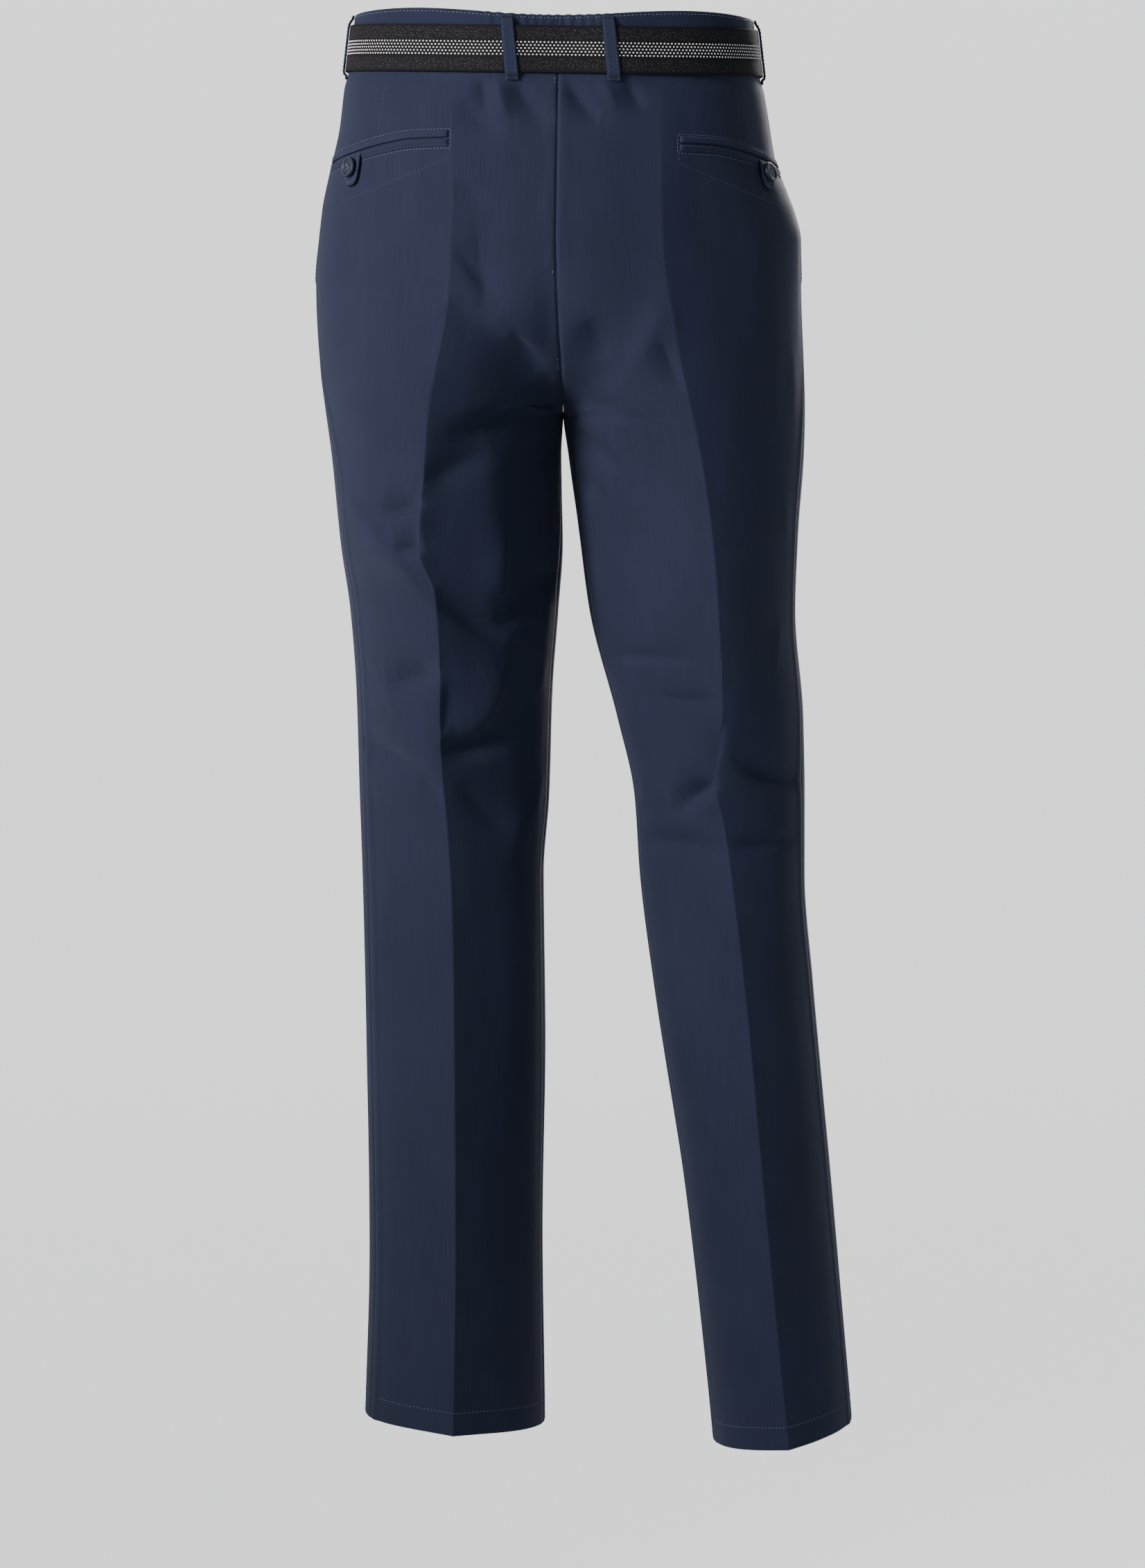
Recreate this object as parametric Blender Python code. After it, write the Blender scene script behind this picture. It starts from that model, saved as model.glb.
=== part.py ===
"""Chino trousers in navy cotton with their webbing belt, in the hollow form they take when worn.

Origin: centre of the waist opening, at the belt's mid-line.  +X is the wearer's right,
+Y the wearer's front, +Z up.  Sizes and tables are millimetres; meshes are metres.

Each half of the trousers is a stack of level sections.  A section runs from the side seam
over the back crease to the inner seam and over the front crease back to the side seam, as
four curves.  Above the crotch it is open at the seat seam, which follows a U from the back
to the front.  A place on a section is `turn`: 0 side, 1 back crease, 2 inner seam, 3 front
crease, 4 side again.
"""

import math
from collections import namedtuple

import bmesh
import bpy
from mathutils import Vector
from mathutils.bvhtree import BVHTree

MM = 0.001

# ---------------------------------------------------------------- driving sizes, millimetres
WALL = 1.5              # chino cloth with its seam allowances
HEM_WALL = 2.7          # the hem is turned up inside
HEM_HEIGHT = 18.0
SEAM_GAP = 0.3          # between two pieces that are sewn together
LAY_GAP = 0.5           # under a piece that lies on a curved panel

WAIST_SEAM_Z = -11.5    # lower edge of the waistband
WAISTBAND_TOP_Z = 25.3
WAISTBAND_WALL = 3.0
WAISTBAND_LAP = 12.0    # how far the left end laps over the right one
WAISTBAND_UNDERLAP = 26.0
LAP_DIP = 13.0          # over this length the right end goes in under the left one
WAISTBAND_CROWN = 4.2   # its top stands up between the back loops and the sides
WAIST_TILT_X = -0.0125  # the waist stands 2 higher at the wearer's left
WAIST_SIDE_RISE = 2.4   # and its sides stand above the middle of back and front
WAIST_DEPTH = 108.0
WAIST_FLARE = 0.115     # the waistband and the belt widen downwards by this much a millimetre

CROTCH_Z = -270.0
CROTCH_Y = 2.0
CROTCH_RISE_BACK = 95.0   # height over which the seat seam turns up
CROTCH_RISE_FRONT = 80.0
CROTCH_VALLEY_TURN = 78.0  # degrees of the U over which the two thighs still meet in a valley

HANDLE = 0.55           # a quarter of an ellipse, as a cubic curve

FOLD_START_Z = -19.0    # the belt holds the cloth flat above this
FOLD_FULL_Z = -30.0

BELT_HEIGHT = 35.0
BELOW_BELT_Z = -20.0    # where pieces on the front panels come out from under the belt
BELT_THICK = 2.2
BELT_GAP = 0.5
BELT_TAIL = 62.0        # free end past the buckle
BELT_LAYER_GAP = 0.3
BELT_START = 6.0        # the strap's sewn end, inside the buckle
BELT_RISE = 32.0        # length over which it comes up to the buckle
BELT_BEND = 60.0        # stretch beside the buckle where it bends

BUCKLE_LENGTH = 42.0
BUCKLE_WALL = 1.3
BUCKLE_STANDOFF = 2.9   # clear of the waist button
BUCKLE_CLEAR = 0.4

LOOP_WIDTH = 9.4
LOOP_THICK = 1.6
LOOP_TOP_Z = 25.0
LOOP_FOOT_Z = -23.0
LOOP_GAP = 0.35
LOOP_HEAD = 2.6
LOOP_FOOT_LENGTH = 3.2
FOOT_REACH = 25.0       # the foot's seat is looked for from this far outside

BUTTON_DIAMETER = 15.0
BUTTON_THICK = 3.0
BUTTON_RIM = 1.7
BUTTON_DISH = 0.9
BUTTON_EDGE = 0.7
BUTTON_HOLE = 1.8
BUTTON_HOLE_PITCH = 3.4
WAIST_BUTTON_THICK = 2.2
WAIST_BUTTON_Z = 4.0
WAIST_BUTTON_GAP = 0.4
POCKET_BUTTON_GAP = 0.6

WELT_HEIGHT = 5.6
WELT_THICK = 1.2
POCKET_OPENING = 0.4    # between its two welts
POCKET_WIDTH = 138.0
TAB_LENGTH = 23.0
TAB_HALF_WIDTH = 11.5
TAB_THICK = 1.3
TAB_TIP_SHARE = 0.12    # its tip, as a share of its width
TAB_ROUNDING = 0.6
TAB_ALONG = 88.0        # the tab's middle, from the pocket's inner end
TAB_BUTTON_DROP = 10.5

FRONT_POCKET_TOP = 46.0   # in front of the side seam, at the waistband
FRONT_POCKET_END_Z = -172.0
FRONT_POCKET_EDGE = 11.0
FRONT_POCKET_FOOT = 1.5
FRONT_POCKET_CURVE = 1.15

FLY_WIDTH = 32.0
FLY_LAP = 8.0
FLY_TIP = 1.5
FLY_END_Z = -165.0
FLY_CURVE = 42.0
ZIP_HALF_WIDTH = 15.0
ZIP_DEPTH = 5.4
ZIP_END_Z = -150.0
ZIP_TAPE = 1.1
ZIP_CHANNEL = 0.34      # half width of the channel, as a share of the tape's
SLIDER = (8.0, 2.0, 11.0)
PULL = (5.0, 0.8, 15.0)
SLIDER_Z = -26.0
RING_REACH = 4.0        # the waist's direction is read over this length each way

NAVY = (0.022, 0.034, 0.075)
NAVY_TRIM = (0.026, 0.040, 0.085)
BUTTON_BLUE = (0.010, 0.014, 0.030)
WEBBING_BLACK = (0.012, 0.012, 0.014)
BUCKLE_GREY = (0.32, 0.32, 0.34)
ZIP_METAL = (0.55, 0.52, 0.46)
CLOTH_ROUGHNESS = 0.8

# ---------------------------------------------------------------- tables, a row for each level
Outline = namedtuple("Outline", "z x_side y_side x_inner y_inner")
Crease = namedtuple("Crease", "z x y lean kink")
Centre = namedtuple("Centre", "z x y_back y_front")
Fold = namedtuple("Fold", "x_a z_a x_b z_b x_c z_c depth width")
Step = namedtuple("Step", "along drop")
Loop = namedtuple("Loop", "name x face lean")

CENTRE_SEAM = (
    Centre(30, 1.5, -104.5, 103.5),
    Centre(-17, 1.5, -109.9, 108.9),
    Centre(-18, 1.5, -110, 109),
    Centre(-30, 1.3, -113.5, 110),
    Centre(-60, 0.8, -119, 112),
    Centre(-100, 0.2, -125.5, 113),
    Centre(-140, -0.3, -130.5, 113),
    Centre(-175, 0.4, -132.5, 111),
    Centre(-210, 2.0, -129.5, 108),
    Centre(-240, 4.0, -120, 105),
    Centre(-270, 5.0, -105.5, 102),
)

LEFT_OUTLINE = (
    Outline(30, -151.5, 0, 4.85, 2),
    Outline(-17, -156.9, 0, 4.85, 2),
    Outline(-18, -157.0, 0, 4.85, 2),
    Outline(-30, -159.5, 0, 4.85, 2),
    Outline(-60, -163.5, 0, 4.85, 2),
    Outline(-90, -170.5, -1, 4.85, 2),
    Outline(-120, -176.5, -3, 4.85, 2),
    Outline(-175, -181.0, -5, 4.85, 2),
    Outline(-235, -179.0, -4, 4.85, 2),
    Outline(-270, -175.0, -2, 4.85, 2),
    Outline(-300, -171.0, 0, 3.3, 3),
    Outline(-370, -164.0, 3, 4.8, 5),
    Outline(-420, -157.0, 5, 1.5, 7),
    Outline(-480, -152.5, 7, -3.0, 8),
    Outline(-560, -150.0, 7, -5.5, 7),
    Outline(-620, -148.0, 3, -9.8, 3),
    Outline(-750, -145.0, -4, -8.5, -4),
    Outline(-900, -143.0, -6, -10.5, -6),
    Outline(-1042, -147.0, -8, -9.0, -8),
)

RIGHT_OUTLINE = (
    Outline(30, 147.9, 0, 5.15, 2),
    Outline(-17, 153.3, 0, 5.15, 2),
    Outline(-18, 153.4, 0, 5.15, 2),
    Outline(-30, 156.0, 0, 5.15, 2),
    Outline(-50, 159.5, 0, 5.15, 2),
    Outline(-80, 164.5, -1, 5.15, 2),
    Outline(-104, 173.5, -2, 5.15, 2),
    Outline(-120, 179.5, -3, 5.15, 2),
    Outline(-140, 184.0, -4, 5.15, 2),
    Outline(-175, 184.0, -5, 5.15, 2),
    Outline(-270, 188.0, -3, 5.15, 2),
    Outline(-300, 187.5, -3, 9.0, 1),
    Outline(-360, 183.5, -3, 17.0, 0),
    Outline(-420, 181.5, -3, 25.0, -1),
    Outline(-500, 187.5, -4, 46.0, -2),
    Outline(-560, 188.5, -6, 59.0, -4),
    Outline(-620, 188.5, -10, 63.0, -8),
    Outline(-700, 194.5, -16, 73.0, -15),
    Outline(-850, 208.5, -25, 96.5, -24),
    Outline(-1000, 221.5, -29, 115.0, -29),
    Outline(-1050, 225.5, -30, 120.0, -30),
)

LEFT_BACK_CREASE = (
    Crease(30, -77, -93.6, 21, 0),
    Crease(-17, -79, -99.0, 21, 0),
    Crease(-18, -79, -99.1, 21, 0),
    Crease(-30, -78, -104, 16, 1),
    Crease(-60, -76, -111.5, 14, 4),
    Crease(-100, -76, -118, 15, 7),
    Crease(-145, -78, -124, 15, 9),
    Crease(-172, -79, -126, 13, 10),
    Crease(-200, -82, -127, 9, 11),
    Crease(-235, -89, -126, 3, 12),
    Crease(-270, -95, -121, 0, 14),
    Crease(-310, -98, -114, 0, 18),
    Crease(-360, -101, -110, 0, 20),
    Crease(-405, -91, -107, 0, 20),
    Crease(-460, -87, -101, 0, 19),
    Crease(-520, -86, -87, 0, 18),
    Crease(-580, -83, -76, 0, 18),
    Crease(-640, -78, -78, 0, 22),
    Crease(-720, -77, -87, 0, 28),
    Crease(-900, -76, -91, 0, 34),
    Crease(-1042, -78, -90, 0, 34),
)

LEFT_FRONT_CREASE = (
    Crease(30, -76, 92.6, 21, 0),
    Crease(-17, -78, 98.0, 21, 0),
    Crease(-18, -78, 98.1, 21, 0),
    Crease(-60, -78, 105, 14, 0),
    Crease(-120, -80, 112, 6, 2),
    Crease(-200, -84, 115, 2, 6),
    Crease(-270, -88, 114, 0, 10),
    Crease(-350, -88, 117, 0, 12),
    Crease(-450, -84, 113, 0, 14),
    Crease(-540, -82, 101, 0, 15),
    Crease(-640, -80, 88, 0, 20),
    Crease(-760, -79, 81, 0, 30),
    Crease(-1042, -78, 74, 0, 34),
)

RIGHT_BACK_CREASE = (
    Crease(30, 78, -93.6, 21, 0),
    Crease(-17, 80, -99.0, 21, 0),
    Crease(-18, 80, -99.1, 21, 0),
    Crease(-30, 79, -104, 16, 1),
    Crease(-60, 78, -111.5, 14, 4),
    Crease(-100, 78, -118, 16, 7),
    Crease(-145, 79, -124, 17, 9),
    Crease(-172, 82, -126, 16, 9),
    Crease(-200, 87, -127, 12, 10),
    Crease(-235, 93, -126, 8, 12),
    Crease(-270, 101, -121, 7, 14),
    Crease(-310, 109, -115, 7, 17),
    Crease(-360, 116, -111, 6, 18),
    Crease(-420, 121, -108, 5, 18),
    Crease(-490, 124, -103, 3, 17),
    Crease(-540, 119, -96, 0, 16),
    Crease(-570, 123, -92, 0, 17),
    Crease(-640, 134, -96, 0, 22),
    Crease(-720, 143, -108, 0, 28),
    Crease(-850, 155, -117, 0, 34),
    Crease(-1050, 175, -122, 0, 34),
)

RIGHT_FRONT_CREASE = (
    Crease(30, 77, 92.6, 21, 0),
    Crease(-17, 79, 98.0, 21, 0),
    Crease(-18, 79, 98.1, 21, 0),
    Crease(-60, 81, 105, 14, 0),
    Crease(-120, 84, 112, 6, 2),
    Crease(-200, 89, 115, 2, 6),
    Crease(-270, 97, 113, 0, 10),
    Crease(-350, 104, 112, 0, 12),
    Crease(-450, 112, 103, 0, 14),
    Crease(-540, 118, 92, 0, 15),
    Crease(-640, 128, 78, 0, 20),
    Crease(-760, 141, 70, 0, 30),
    Crease(-1050, 174, 62, 0, 34),
)

# Troughs (depth > 0) and ridges (depth < 0) pressed by wear, each along a curve of three points.
BACK_FOLDS = (
    Fold(-56, -22, -60, -42, -64, -66, 2.6, 7),
    Fold(-34, -26, -30, -40, -25, -60, -2.4, 7),
    Fold(4, -22, 14, -42, 32, -66, 2.6, 8),
    Fold(52, -22, 60, -36, 70, -54, -2.2, 7),
    Fold(-44, -205, -42, -222, -26, -240, 2.4, 9),
    Fold(-90, -284, -55, -277, -10, -262, -3.4, 8),
    Fold(-86, -296, -52, -292, -14, -280, 4.4, 9),
    Fold(10, -262, 26, -270, 46, -282, 2.6, 8),
    Fold(8, -290, 24, -300, 44, -318, 3.0, 8),
    Fold(-142, -345, -124, -336, -106, -326, 4.2, 9),
    Fold(-172, -330, -138, -368, -108, -404, -2.6, 7),
    Fold(-112, -372, -84, -398, -52, -436, 5.0, 10),
    Fold(-100, -388, -72, -412, -46, -436, -3.0, 8),
    Fold(-50, -396, -48, -414, -50, -434, 3.6, 7),
    Fold(-52, -438, -30, -426, -8, -418, 3.4, 8),
    Fold(-142, -474, -122, -462, -102, -452, 3.6, 9),
    Fold(-158, -442, -134, -486, -122, -524, -2.2, 6),
    Fold(-128, -526, -112, -524, -96, -522, 3.4, 6),
    Fold(-152, -522, -124, -544, -94, -566, 2.8, 9),
    Fold(-94, -500, -70, -488, -52, -478, -4.2, 13),
    Fold(-96, -524, -78, -538, -42, -516, 4.6, 9),
    Fold(-58, -580, -50, -598, -44, -616, 2.2, 9),
    Fold(28, -458, 62, -454, 108, -456, 2.0, 7),
    Fold(66, -488, 88, -490, 112, -488, 1.8, 7),
    Fold(80, -566, 98, -546, 112, -522, 5.0, 10),
    Fold(60, -588, 92, -590, 118, -602, 3.2, 11),
    Fold(130, -534, 146, -550, 174, -554, 3.4, 8),
    Fold(128, -600, 146, -598, 170, -592, 2.0, 9),
)

FRONT_FOLDS = (
    Fold(-12, -262, -44, -246, -92, -214, 3.4, 10),
    Fold(18, -264, 52, -250, 96, -220, 3.2, 10),
    Fold(-16, -286, -54, -280, -98, -262, -2.6, 10),
    Fold(24, -290, 60, -284, 104, -268, -2.6, 10),
    Fold(-142, -350, -112, -372, -84, -402, 2.8, 10),
    Fold(44, -372, 74, -388, 108, -420, 2.8, 10),
    Fold(-144, -528, -112, -540, -66, -530, 3.2, 11),
    Fold(-60, -556, -34, -548, -14, -536, 2.6, 9),
    Fold(64, -548, 104, -560, 150, -546, 3.2, 11),
    Fold(-138, -604, -108, -612, -60, -604, 2.6, 11),
    Fold(74, -616, 112, -624, 160, -612, 2.6, 11),
    Fold(-130, -960, -100, -972, -66, -966, 2.6, 12),
    Fold(128, -950, 158, -964, 190, -958, 2.6, 12),
)

POCKET_LINE = (Step(0, 0), Step(30, -1.3), Step(55, -5), Step(95, -12.5), Step(146, -20))

LOOPS = (
    Loop("back_left", -34.0, -1, -5.0),
    Loop("back_right", 38.0, -1, 4.0),
    Loop("front_left", -84.0, 1, 0.0),
    Loop("front_right", 82.0, 1, 0.0),
)

SectionPlan = namedtuple(
    "SectionPlan", "side name outline back_crease front_crease side_turn hem_z hem_tilt_x hem_tilt_y "
    "pocket_across pocket_z")

LEFT_PLAN = SectionPlan(-1, "left", LEFT_OUTLINE, LEFT_BACK_CREASE, LEFT_FRONT_CREASE,
                        0.20, -1035.5, -0.05, 0.04, 81.0, -66.5)
RIGHT_PLAN = SectionPlan(1, "right", RIGHT_OUTLINE, RIGHT_BACK_CREASE, RIGHT_FRONT_CREASE,
                         0.10, -1040.5, 0.16, 0.04, 92.0, -69.0)
PLANS = (LEFT_PLAN, RIGHT_PLAN)

INSEAM_TURN = 1.92      # below the crotch the inner seam sits a little to the back
INSEAM_TURN_RUN = 130.0
SIDE_TURN_START_Z = -160.0   # the side seam drifts to the back between these levels
SIDE_TURN_END_Z = -430.0
WAIST_TILT_END_Z = -150.0    # the waist's tilt has faded out here
HEM_TILT_START_Z = -820.0

# ---------------------------------------------------------------- mesh spacing
COLUMNS_BACK = (7, 7)   # side seam to crease, crease to inner seam
COLUMNS_FRONT = (6, 5)
ROWS_LEG = 26
ROWS_SEAT = 7
ROWS_CROTCH = 8
TOP_LEVELS = (-18.5, -24.0, -33.0)
SEAT_TOP_Z = -46.0
CROTCH_STEPS = (9.0, 22.0)   # the first levels below the crotch
FOLD_SAMPLES = 12
SECTION_SAMPLES = 160
SEAM_SAMPLES = 80
NORMAL_TURN = 0.02           # neighbours that give a point its outward direction
NORMAL_RISE = 2.0
SEAT_RAY_START = 15.0        # a laid piece looks for its panel from this far outside
SEAT_RAY_REACH = 40.0
FOOT_RAY_REACH = 60.0
WELT_STEPS = 22
TAB_STEPS = (8, 6)           # down, across
EDGE_STEPS = (26, 2)
FLY_STEPS = (14, 4)
ZIP_STEPS = (10, 6)
BUTTON_STEPS = 16
HOLE_STEPS = 6
RING_STEPS = 60              # a quarter of the waist
BAND_STEPS_LEFT = 34
BAND_STEPS_RIGHT = (32, 6, 5)
BELT_STEPS = (8, 54, 16)
BUCKLE_STEPS = 6


# ---------------------------------------------------------------- small maths
def smooth_step(low, high, value):
    """0 at low, 1 at high, with flat ends; low may be the larger one."""
    share = min(max((value - low) / (high - low), 0.0), 1.0)
    return share * share * (3.0 - 2.0 * share)


def gentle_slope(before, after):
    """Slope at a table row that never makes the curve overshoot its rows."""
    if before * after <= 0.0:
        return 0.0
    return 2.0 * before * after / (before + after)


def read_table(table, place):
    """A row of a table at any place, on a smooth curve through the rows."""
    sign = 1.0 if table[-1][0] > table[0][0] else -1.0
    place = sign * min(max(sign * place, sign * table[0][0]), sign * table[-1][0])
    last = len(table) - 1
    index = 0
    while index < last - 1 and sign * table[index + 1][0] < sign * place:
        index += 1
    low, high = table[index], table[index + 1]
    before, after = table[max(index - 1, 0)], table[min(index + 2, last)]
    span = high[0] - low[0]
    share = (place - low[0]) / span
    values = [place]
    for column in range(1, len(low)):
        slope = (high[column] - low[column]) / span
        slope_low = slope
        slope_high = slope
        if before is not low:
            slope_low = gentle_slope((low[column] - before[column]) / (low[0] - before[0]), slope)
        if after is not high:
            slope_high = gentle_slope(slope, (after[column] - high[column]) / (after[0] - high[0]))
        rise = high[column] - low[column]
        bend_low = slope_low * span - rise
        bend_high = rise - slope_high * span
        mix = (1.0 - share) * bend_low + share * bend_high
        values.append(low[column] + share * rise + share * (1.0 - share) * mix)
    return type(low)(*values)


def bezier(points, share):
    """Point of a cubic curve given by four (x, y) pairs."""
    rest = 1.0 - share
    weights = (rest ** 3, 3.0 * rest * rest * share, 3.0 * rest * share * share, share ** 3)
    return (sum(w * p[0] for w, p in zip(weights, points)),
            sum(w * p[1] for w, p in zip(weights, points)))


def spaced(start, end, count):
    """count values from start, one step short of end."""
    return [start + (end - start) * step / count for step in range(count)]


# ---------------------------------------------------------------- sections of one half
def seat_seam(z, face):
    """Where the seat seam lies at a level: x, y, and how far the U has turned up in degrees."""
    row = read_table(CENTRE_SEAM, z)
    rise = CROTCH_RISE_BACK if face < 0 else CROTCH_RISE_FRONT
    profile = row.y_back if face < 0 else row.y_front
    height = min(max((z - CROTCH_Z) / rise, 0.0), 1.0)
    turned = math.degrees(math.acos(1.0 - height))
    return row.x, CROTCH_Y + (profile - CROTCH_Y) * math.sin(math.radians(turned)), turned


def quarter_points(plan, z, quarter):
    """The four control points of one quarter of a section, side to crease or crease to inner."""
    outline = read_table(plan.outline, z)
    face = -1 if quarter in (0, 1) else 1
    crease = read_table(plan.back_crease if face < 0 else plan.front_crease, z)
    crease_point = (crease.x, crease.y)
    if quarter in (0, 3):
        across = abs(outline.x_side - crease.x) * HANDLE
        drop = math.tan(math.radians(crease.lean + crease.kink))
        return ((outline.x_side, outline.y_side),
                (outline.x_side, outline.y_side + HANDLE * (crease.y - outline.y_side)),
                (crease.x + plan.side * across, crease.y - face * across * drop),
                crease_point)
    if z > CROTCH_Z:
        x_inner, y_inner, turned = seat_seam(z, face)
        x_inner += plan.side * SEAM_GAP / 2.0
        valley = math.radians(90.0 * (1.0 - smooth_step(0.0, CROTCH_VALLEY_TURN, turned)))
    else:
        x_inner, y_inner, valley = outline.x_inner, outline.y_inner, math.pi / 2.0
    across = abs(x_inner - crease.x) * HANDLE
    drop = math.tan(math.radians(crease.lean - crease.kink))
    reach_y = HANDLE * abs(crease.y - y_inner)
    return (crease_point,
            (crease.x - plan.side * across, crease.y + face * across * drop),
            (x_inner + plan.side * across * math.cos(valley), y_inner + face * reach_y * math.sin(valley)),
            (x_inner, y_inner))


def waist_rise(x, y):
    """How far the waist stands above its level at a place round it."""
    return WAIST_TILT_X * x + WAIST_SIDE_RISE * (1.0 - min((y / WAIST_DEPTH) ** 2, 1.0))


def tilted_level(plan, x, y, z):
    """Height of a section's point: the waist and the hem aren't quite level."""
    waist = smooth_step(WAIST_TILT_END_Z, BELOW_BELT_Z, z)
    hem = smooth_step(HEM_TILT_START_Z, plan.hem_z, z)
    ankle = read_table(plan.outline, plan.hem_z)
    ankle_x = (ankle.x_side + ankle.x_inner) / 2.0
    return (z + waist * waist_rise(x, y)
            + hem * (plan.hem_tilt_x * (x - ankle_x) + plan.hem_tilt_y * (y - ankle.y_side)))


def bare_point(plan, turn, z, face):
    """A point of the half's outside before folds."""
    if turn >= 4.0:
        turn -= 4.0
    quarter = int(turn)
    if turn == 2.0 and face < 0:
        quarter = 1
    share = turn - quarter
    if quarter == 2:
        points = quarter_points(plan, z, 2)[::-1]
    elif quarter == 3:
        points = quarter_points(plan, z, 3)[::-1]
    else:
        points = quarter_points(plan, z, quarter)
    x, y = bezier(points, share)
    return Vector((x, y, tilted_level(plan, x, y, z)))


def bare_normal(plan, turn, z, face):
    """Outward direction at a point, from its neighbours on the smooth form."""
    low, high = turn - NORMAL_TURN, turn + NORMAL_TURN
    if low < 0.0:
        low, high = low + 4.0, high + 4.0
    if z > CROTCH_Z:
        if face < 0:
            high = min(high, 2.0) if high < 3.0 else high
        else:
            low = max(low, 2.0)
    along = bare_point(plan, high, z, face) - bare_point(plan, low, z, face)
    up = bare_point(plan, turn, z + NORMAL_RISE, face) - bare_point(plan, turn, z - NORMAL_RISE, face)
    normal = along.cross(up) * -plan.side
    return normal.normalized()


def fold_depth(folds, x, z):
    """How far the folds pull the cloth in at a place on one face."""
    total = 0.0
    for fold in folds:
        reach = 3.0 * fold.width
        if not (min(fold.x_a, fold.x_b, fold.x_c) - reach < x < max(fold.x_a, fold.x_b, fold.x_c) + reach):
            continue
        if not (min(fold.z_a, fold.z_b, fold.z_c) - reach < z < max(fold.z_a, fold.z_b, fold.z_c) + reach):
            continue
        nearest, at = 1e9, 0.0
        for step in range(FOLD_SAMPLES + 1):
            share = step / FOLD_SAMPLES
            rest = 1.0 - share
            fx = rest * rest * fold.x_a + 2.0 * rest * share * fold.x_b + share * share * fold.x_c
            fz = rest * rest * fold.z_a + 2.0 * rest * share * fold.z_b + share * share * fold.z_c
            distance = math.hypot(x - fx, z - fz)
            if distance < nearest:
                nearest, at = distance, share
        taper = math.sin(math.pi * (0.12 + 0.76 * at))
        total += fold.depth * taper * math.exp(-(nearest / fold.width) ** 2)
    return total


def cloth_point(plan, turn, z, face):
    """Outside point with its folds, and the outward direction there."""
    point = bare_point(plan, turn, z, face)
    normal = bare_normal(plan, turn, z, face)
    for side_face, folds in ((-1, BACK_FOLDS), (1, FRONT_FOLDS)):
        facing = smooth_step(0.25, 0.7, side_face * normal.y)
        if facing > 0.0:
            under_belt = smooth_step(FOLD_START_Z, FOLD_FULL_Z, z)
            point = point - normal * (facing * under_belt * fold_depth(folds, point.x, z))
    return point, normal


def inner_turn(z):
    """Where the back panel ends: the seat seam, or below it the inner leg seam."""
    return 2.0 - (2.0 - INSEAM_TURN) * smooth_step(CROTCH_Z, CROTCH_Z - INSEAM_TURN_RUN, z)


def side_turn(plan, z):
    """Where the side seam runs: at the side of the hip, further back down the leg."""
    return plan.side_turn * smooth_step(SIDE_TURN_START_Z, SIDE_TURN_END_Z, z)


def panel_levels(plan):
    """Levels of a half's rows, closer at the belt, the crotch and the hem."""
    top = WAIST_SEAM_Z - SEAM_GAP
    levels = [top, *TOP_LEVELS]
    levels += spaced(SEAT_TOP_Z, CROTCH_Z + CROTCH_RISE_BACK, ROWS_SEAT)
    for step in range(ROWS_CROTCH):
        angle = math.radians(90.0 * (1.0 - step / ROWS_CROTCH))
        levels.append(CROTCH_Z + CROTCH_RISE_BACK * (1.0 - math.cos(angle)))
    levels += [CROTCH_Z, CROTCH_Z - CROTCH_STEPS[0]]
    hem_top = plan.hem_z + HEM_HEIGHT
    levels += spaced(CROTCH_Z - CROTCH_STEPS[1], hem_top + 1.0, ROWS_LEG)
    levels += [hem_top + 1.0, hem_top - 0.5, plan.hem_z]
    return levels


def panel_turns(plan, z, face):
    """Columns of a panel at a level, with one on the crease."""
    if face < 0:
        first, crease, last = side_turn(plan, z), 1.0, inner_turn(z)
        counts = COLUMNS_BACK
    else:
        first, crease, last = inner_turn(z), 3.0, 4.0 + side_turn(plan, z)
        counts = COLUMNS_FRONT
    return spaced(first, crease, counts[0]) + spaced(crease, last, counts[1]) + [last]


# ---------------------------------------------------------------- meshes
def finish(name, color, roughness, metallic=0.0):
    """Plain material of a piece."""
    material = bpy.data.materials.new(name)
    material.use_nodes = True
    shader = material.node_tree.nodes["Principled BSDF"]
    shader.inputs["Base Color"].default_value = (*color, 1.0)
    shader.inputs["Roughness"].default_value = roughness
    shader.inputs["Metallic"].default_value = metallic
    return material


def add_piece(name, shape, color, roughness, metallic=0.0, sharp_angle=40.0):
    """Turn a bmesh in millimetres into a named object in metres."""
    bmesh.ops.recalc_face_normals(shape, faces=shape.faces[:])
    bmesh.ops.triangulate(shape, faces=shape.faces[:])
    bmesh.ops.scale(shape, vec=(MM, MM, MM), verts=shape.verts[:])
    mesh = bpy.data.meshes.new(name)
    shape.to_mesh(mesh)
    shape.free()
    mesh.shade_smooth()
    mesh.set_sharp_from_angle(angle=math.radians(sharp_angle))
    mesh.materials.append(finish(name, color, roughness, metallic))
    piece = bpy.data.objects.new(name, mesh)
    bpy.context.scene.collection.objects.link(piece)
    return piece


def wall_between(outer, inner):
    """Closed wall between two grids of points with the same rows and columns."""
    shape = bmesh.new()
    rows, columns = len(outer), len(outer[0])
    skins = [[[shape.verts.new(point) for point in row] for row in grid] for grid in (outer, inner)]
    for row in range(rows - 1):
        for column in range(columns - 1):
            for skin in skins:
                shape.faces.new((skin[row][column], skin[row][column + 1],
                                 skin[row + 1][column + 1], skin[row + 1][column]))
    border = [(0, c) for c in range(columns - 1)] + [(r, columns - 1) for r in range(rows - 1)]
    border += [(rows - 1, c) for c in range(columns - 1, 0, -1)] + [(r, 0) for r in range(rows - 1, 0, -1)]
    for here, there in zip(border, border[1:] + border[:1]):
        shape.faces.new([skins[0][here[0]][here[1]], skins[0][there[0]][there[1]],
                         skins[1][there[0]][there[1]], skins[1][here[0]][here[1]]])
    return shape


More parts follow.
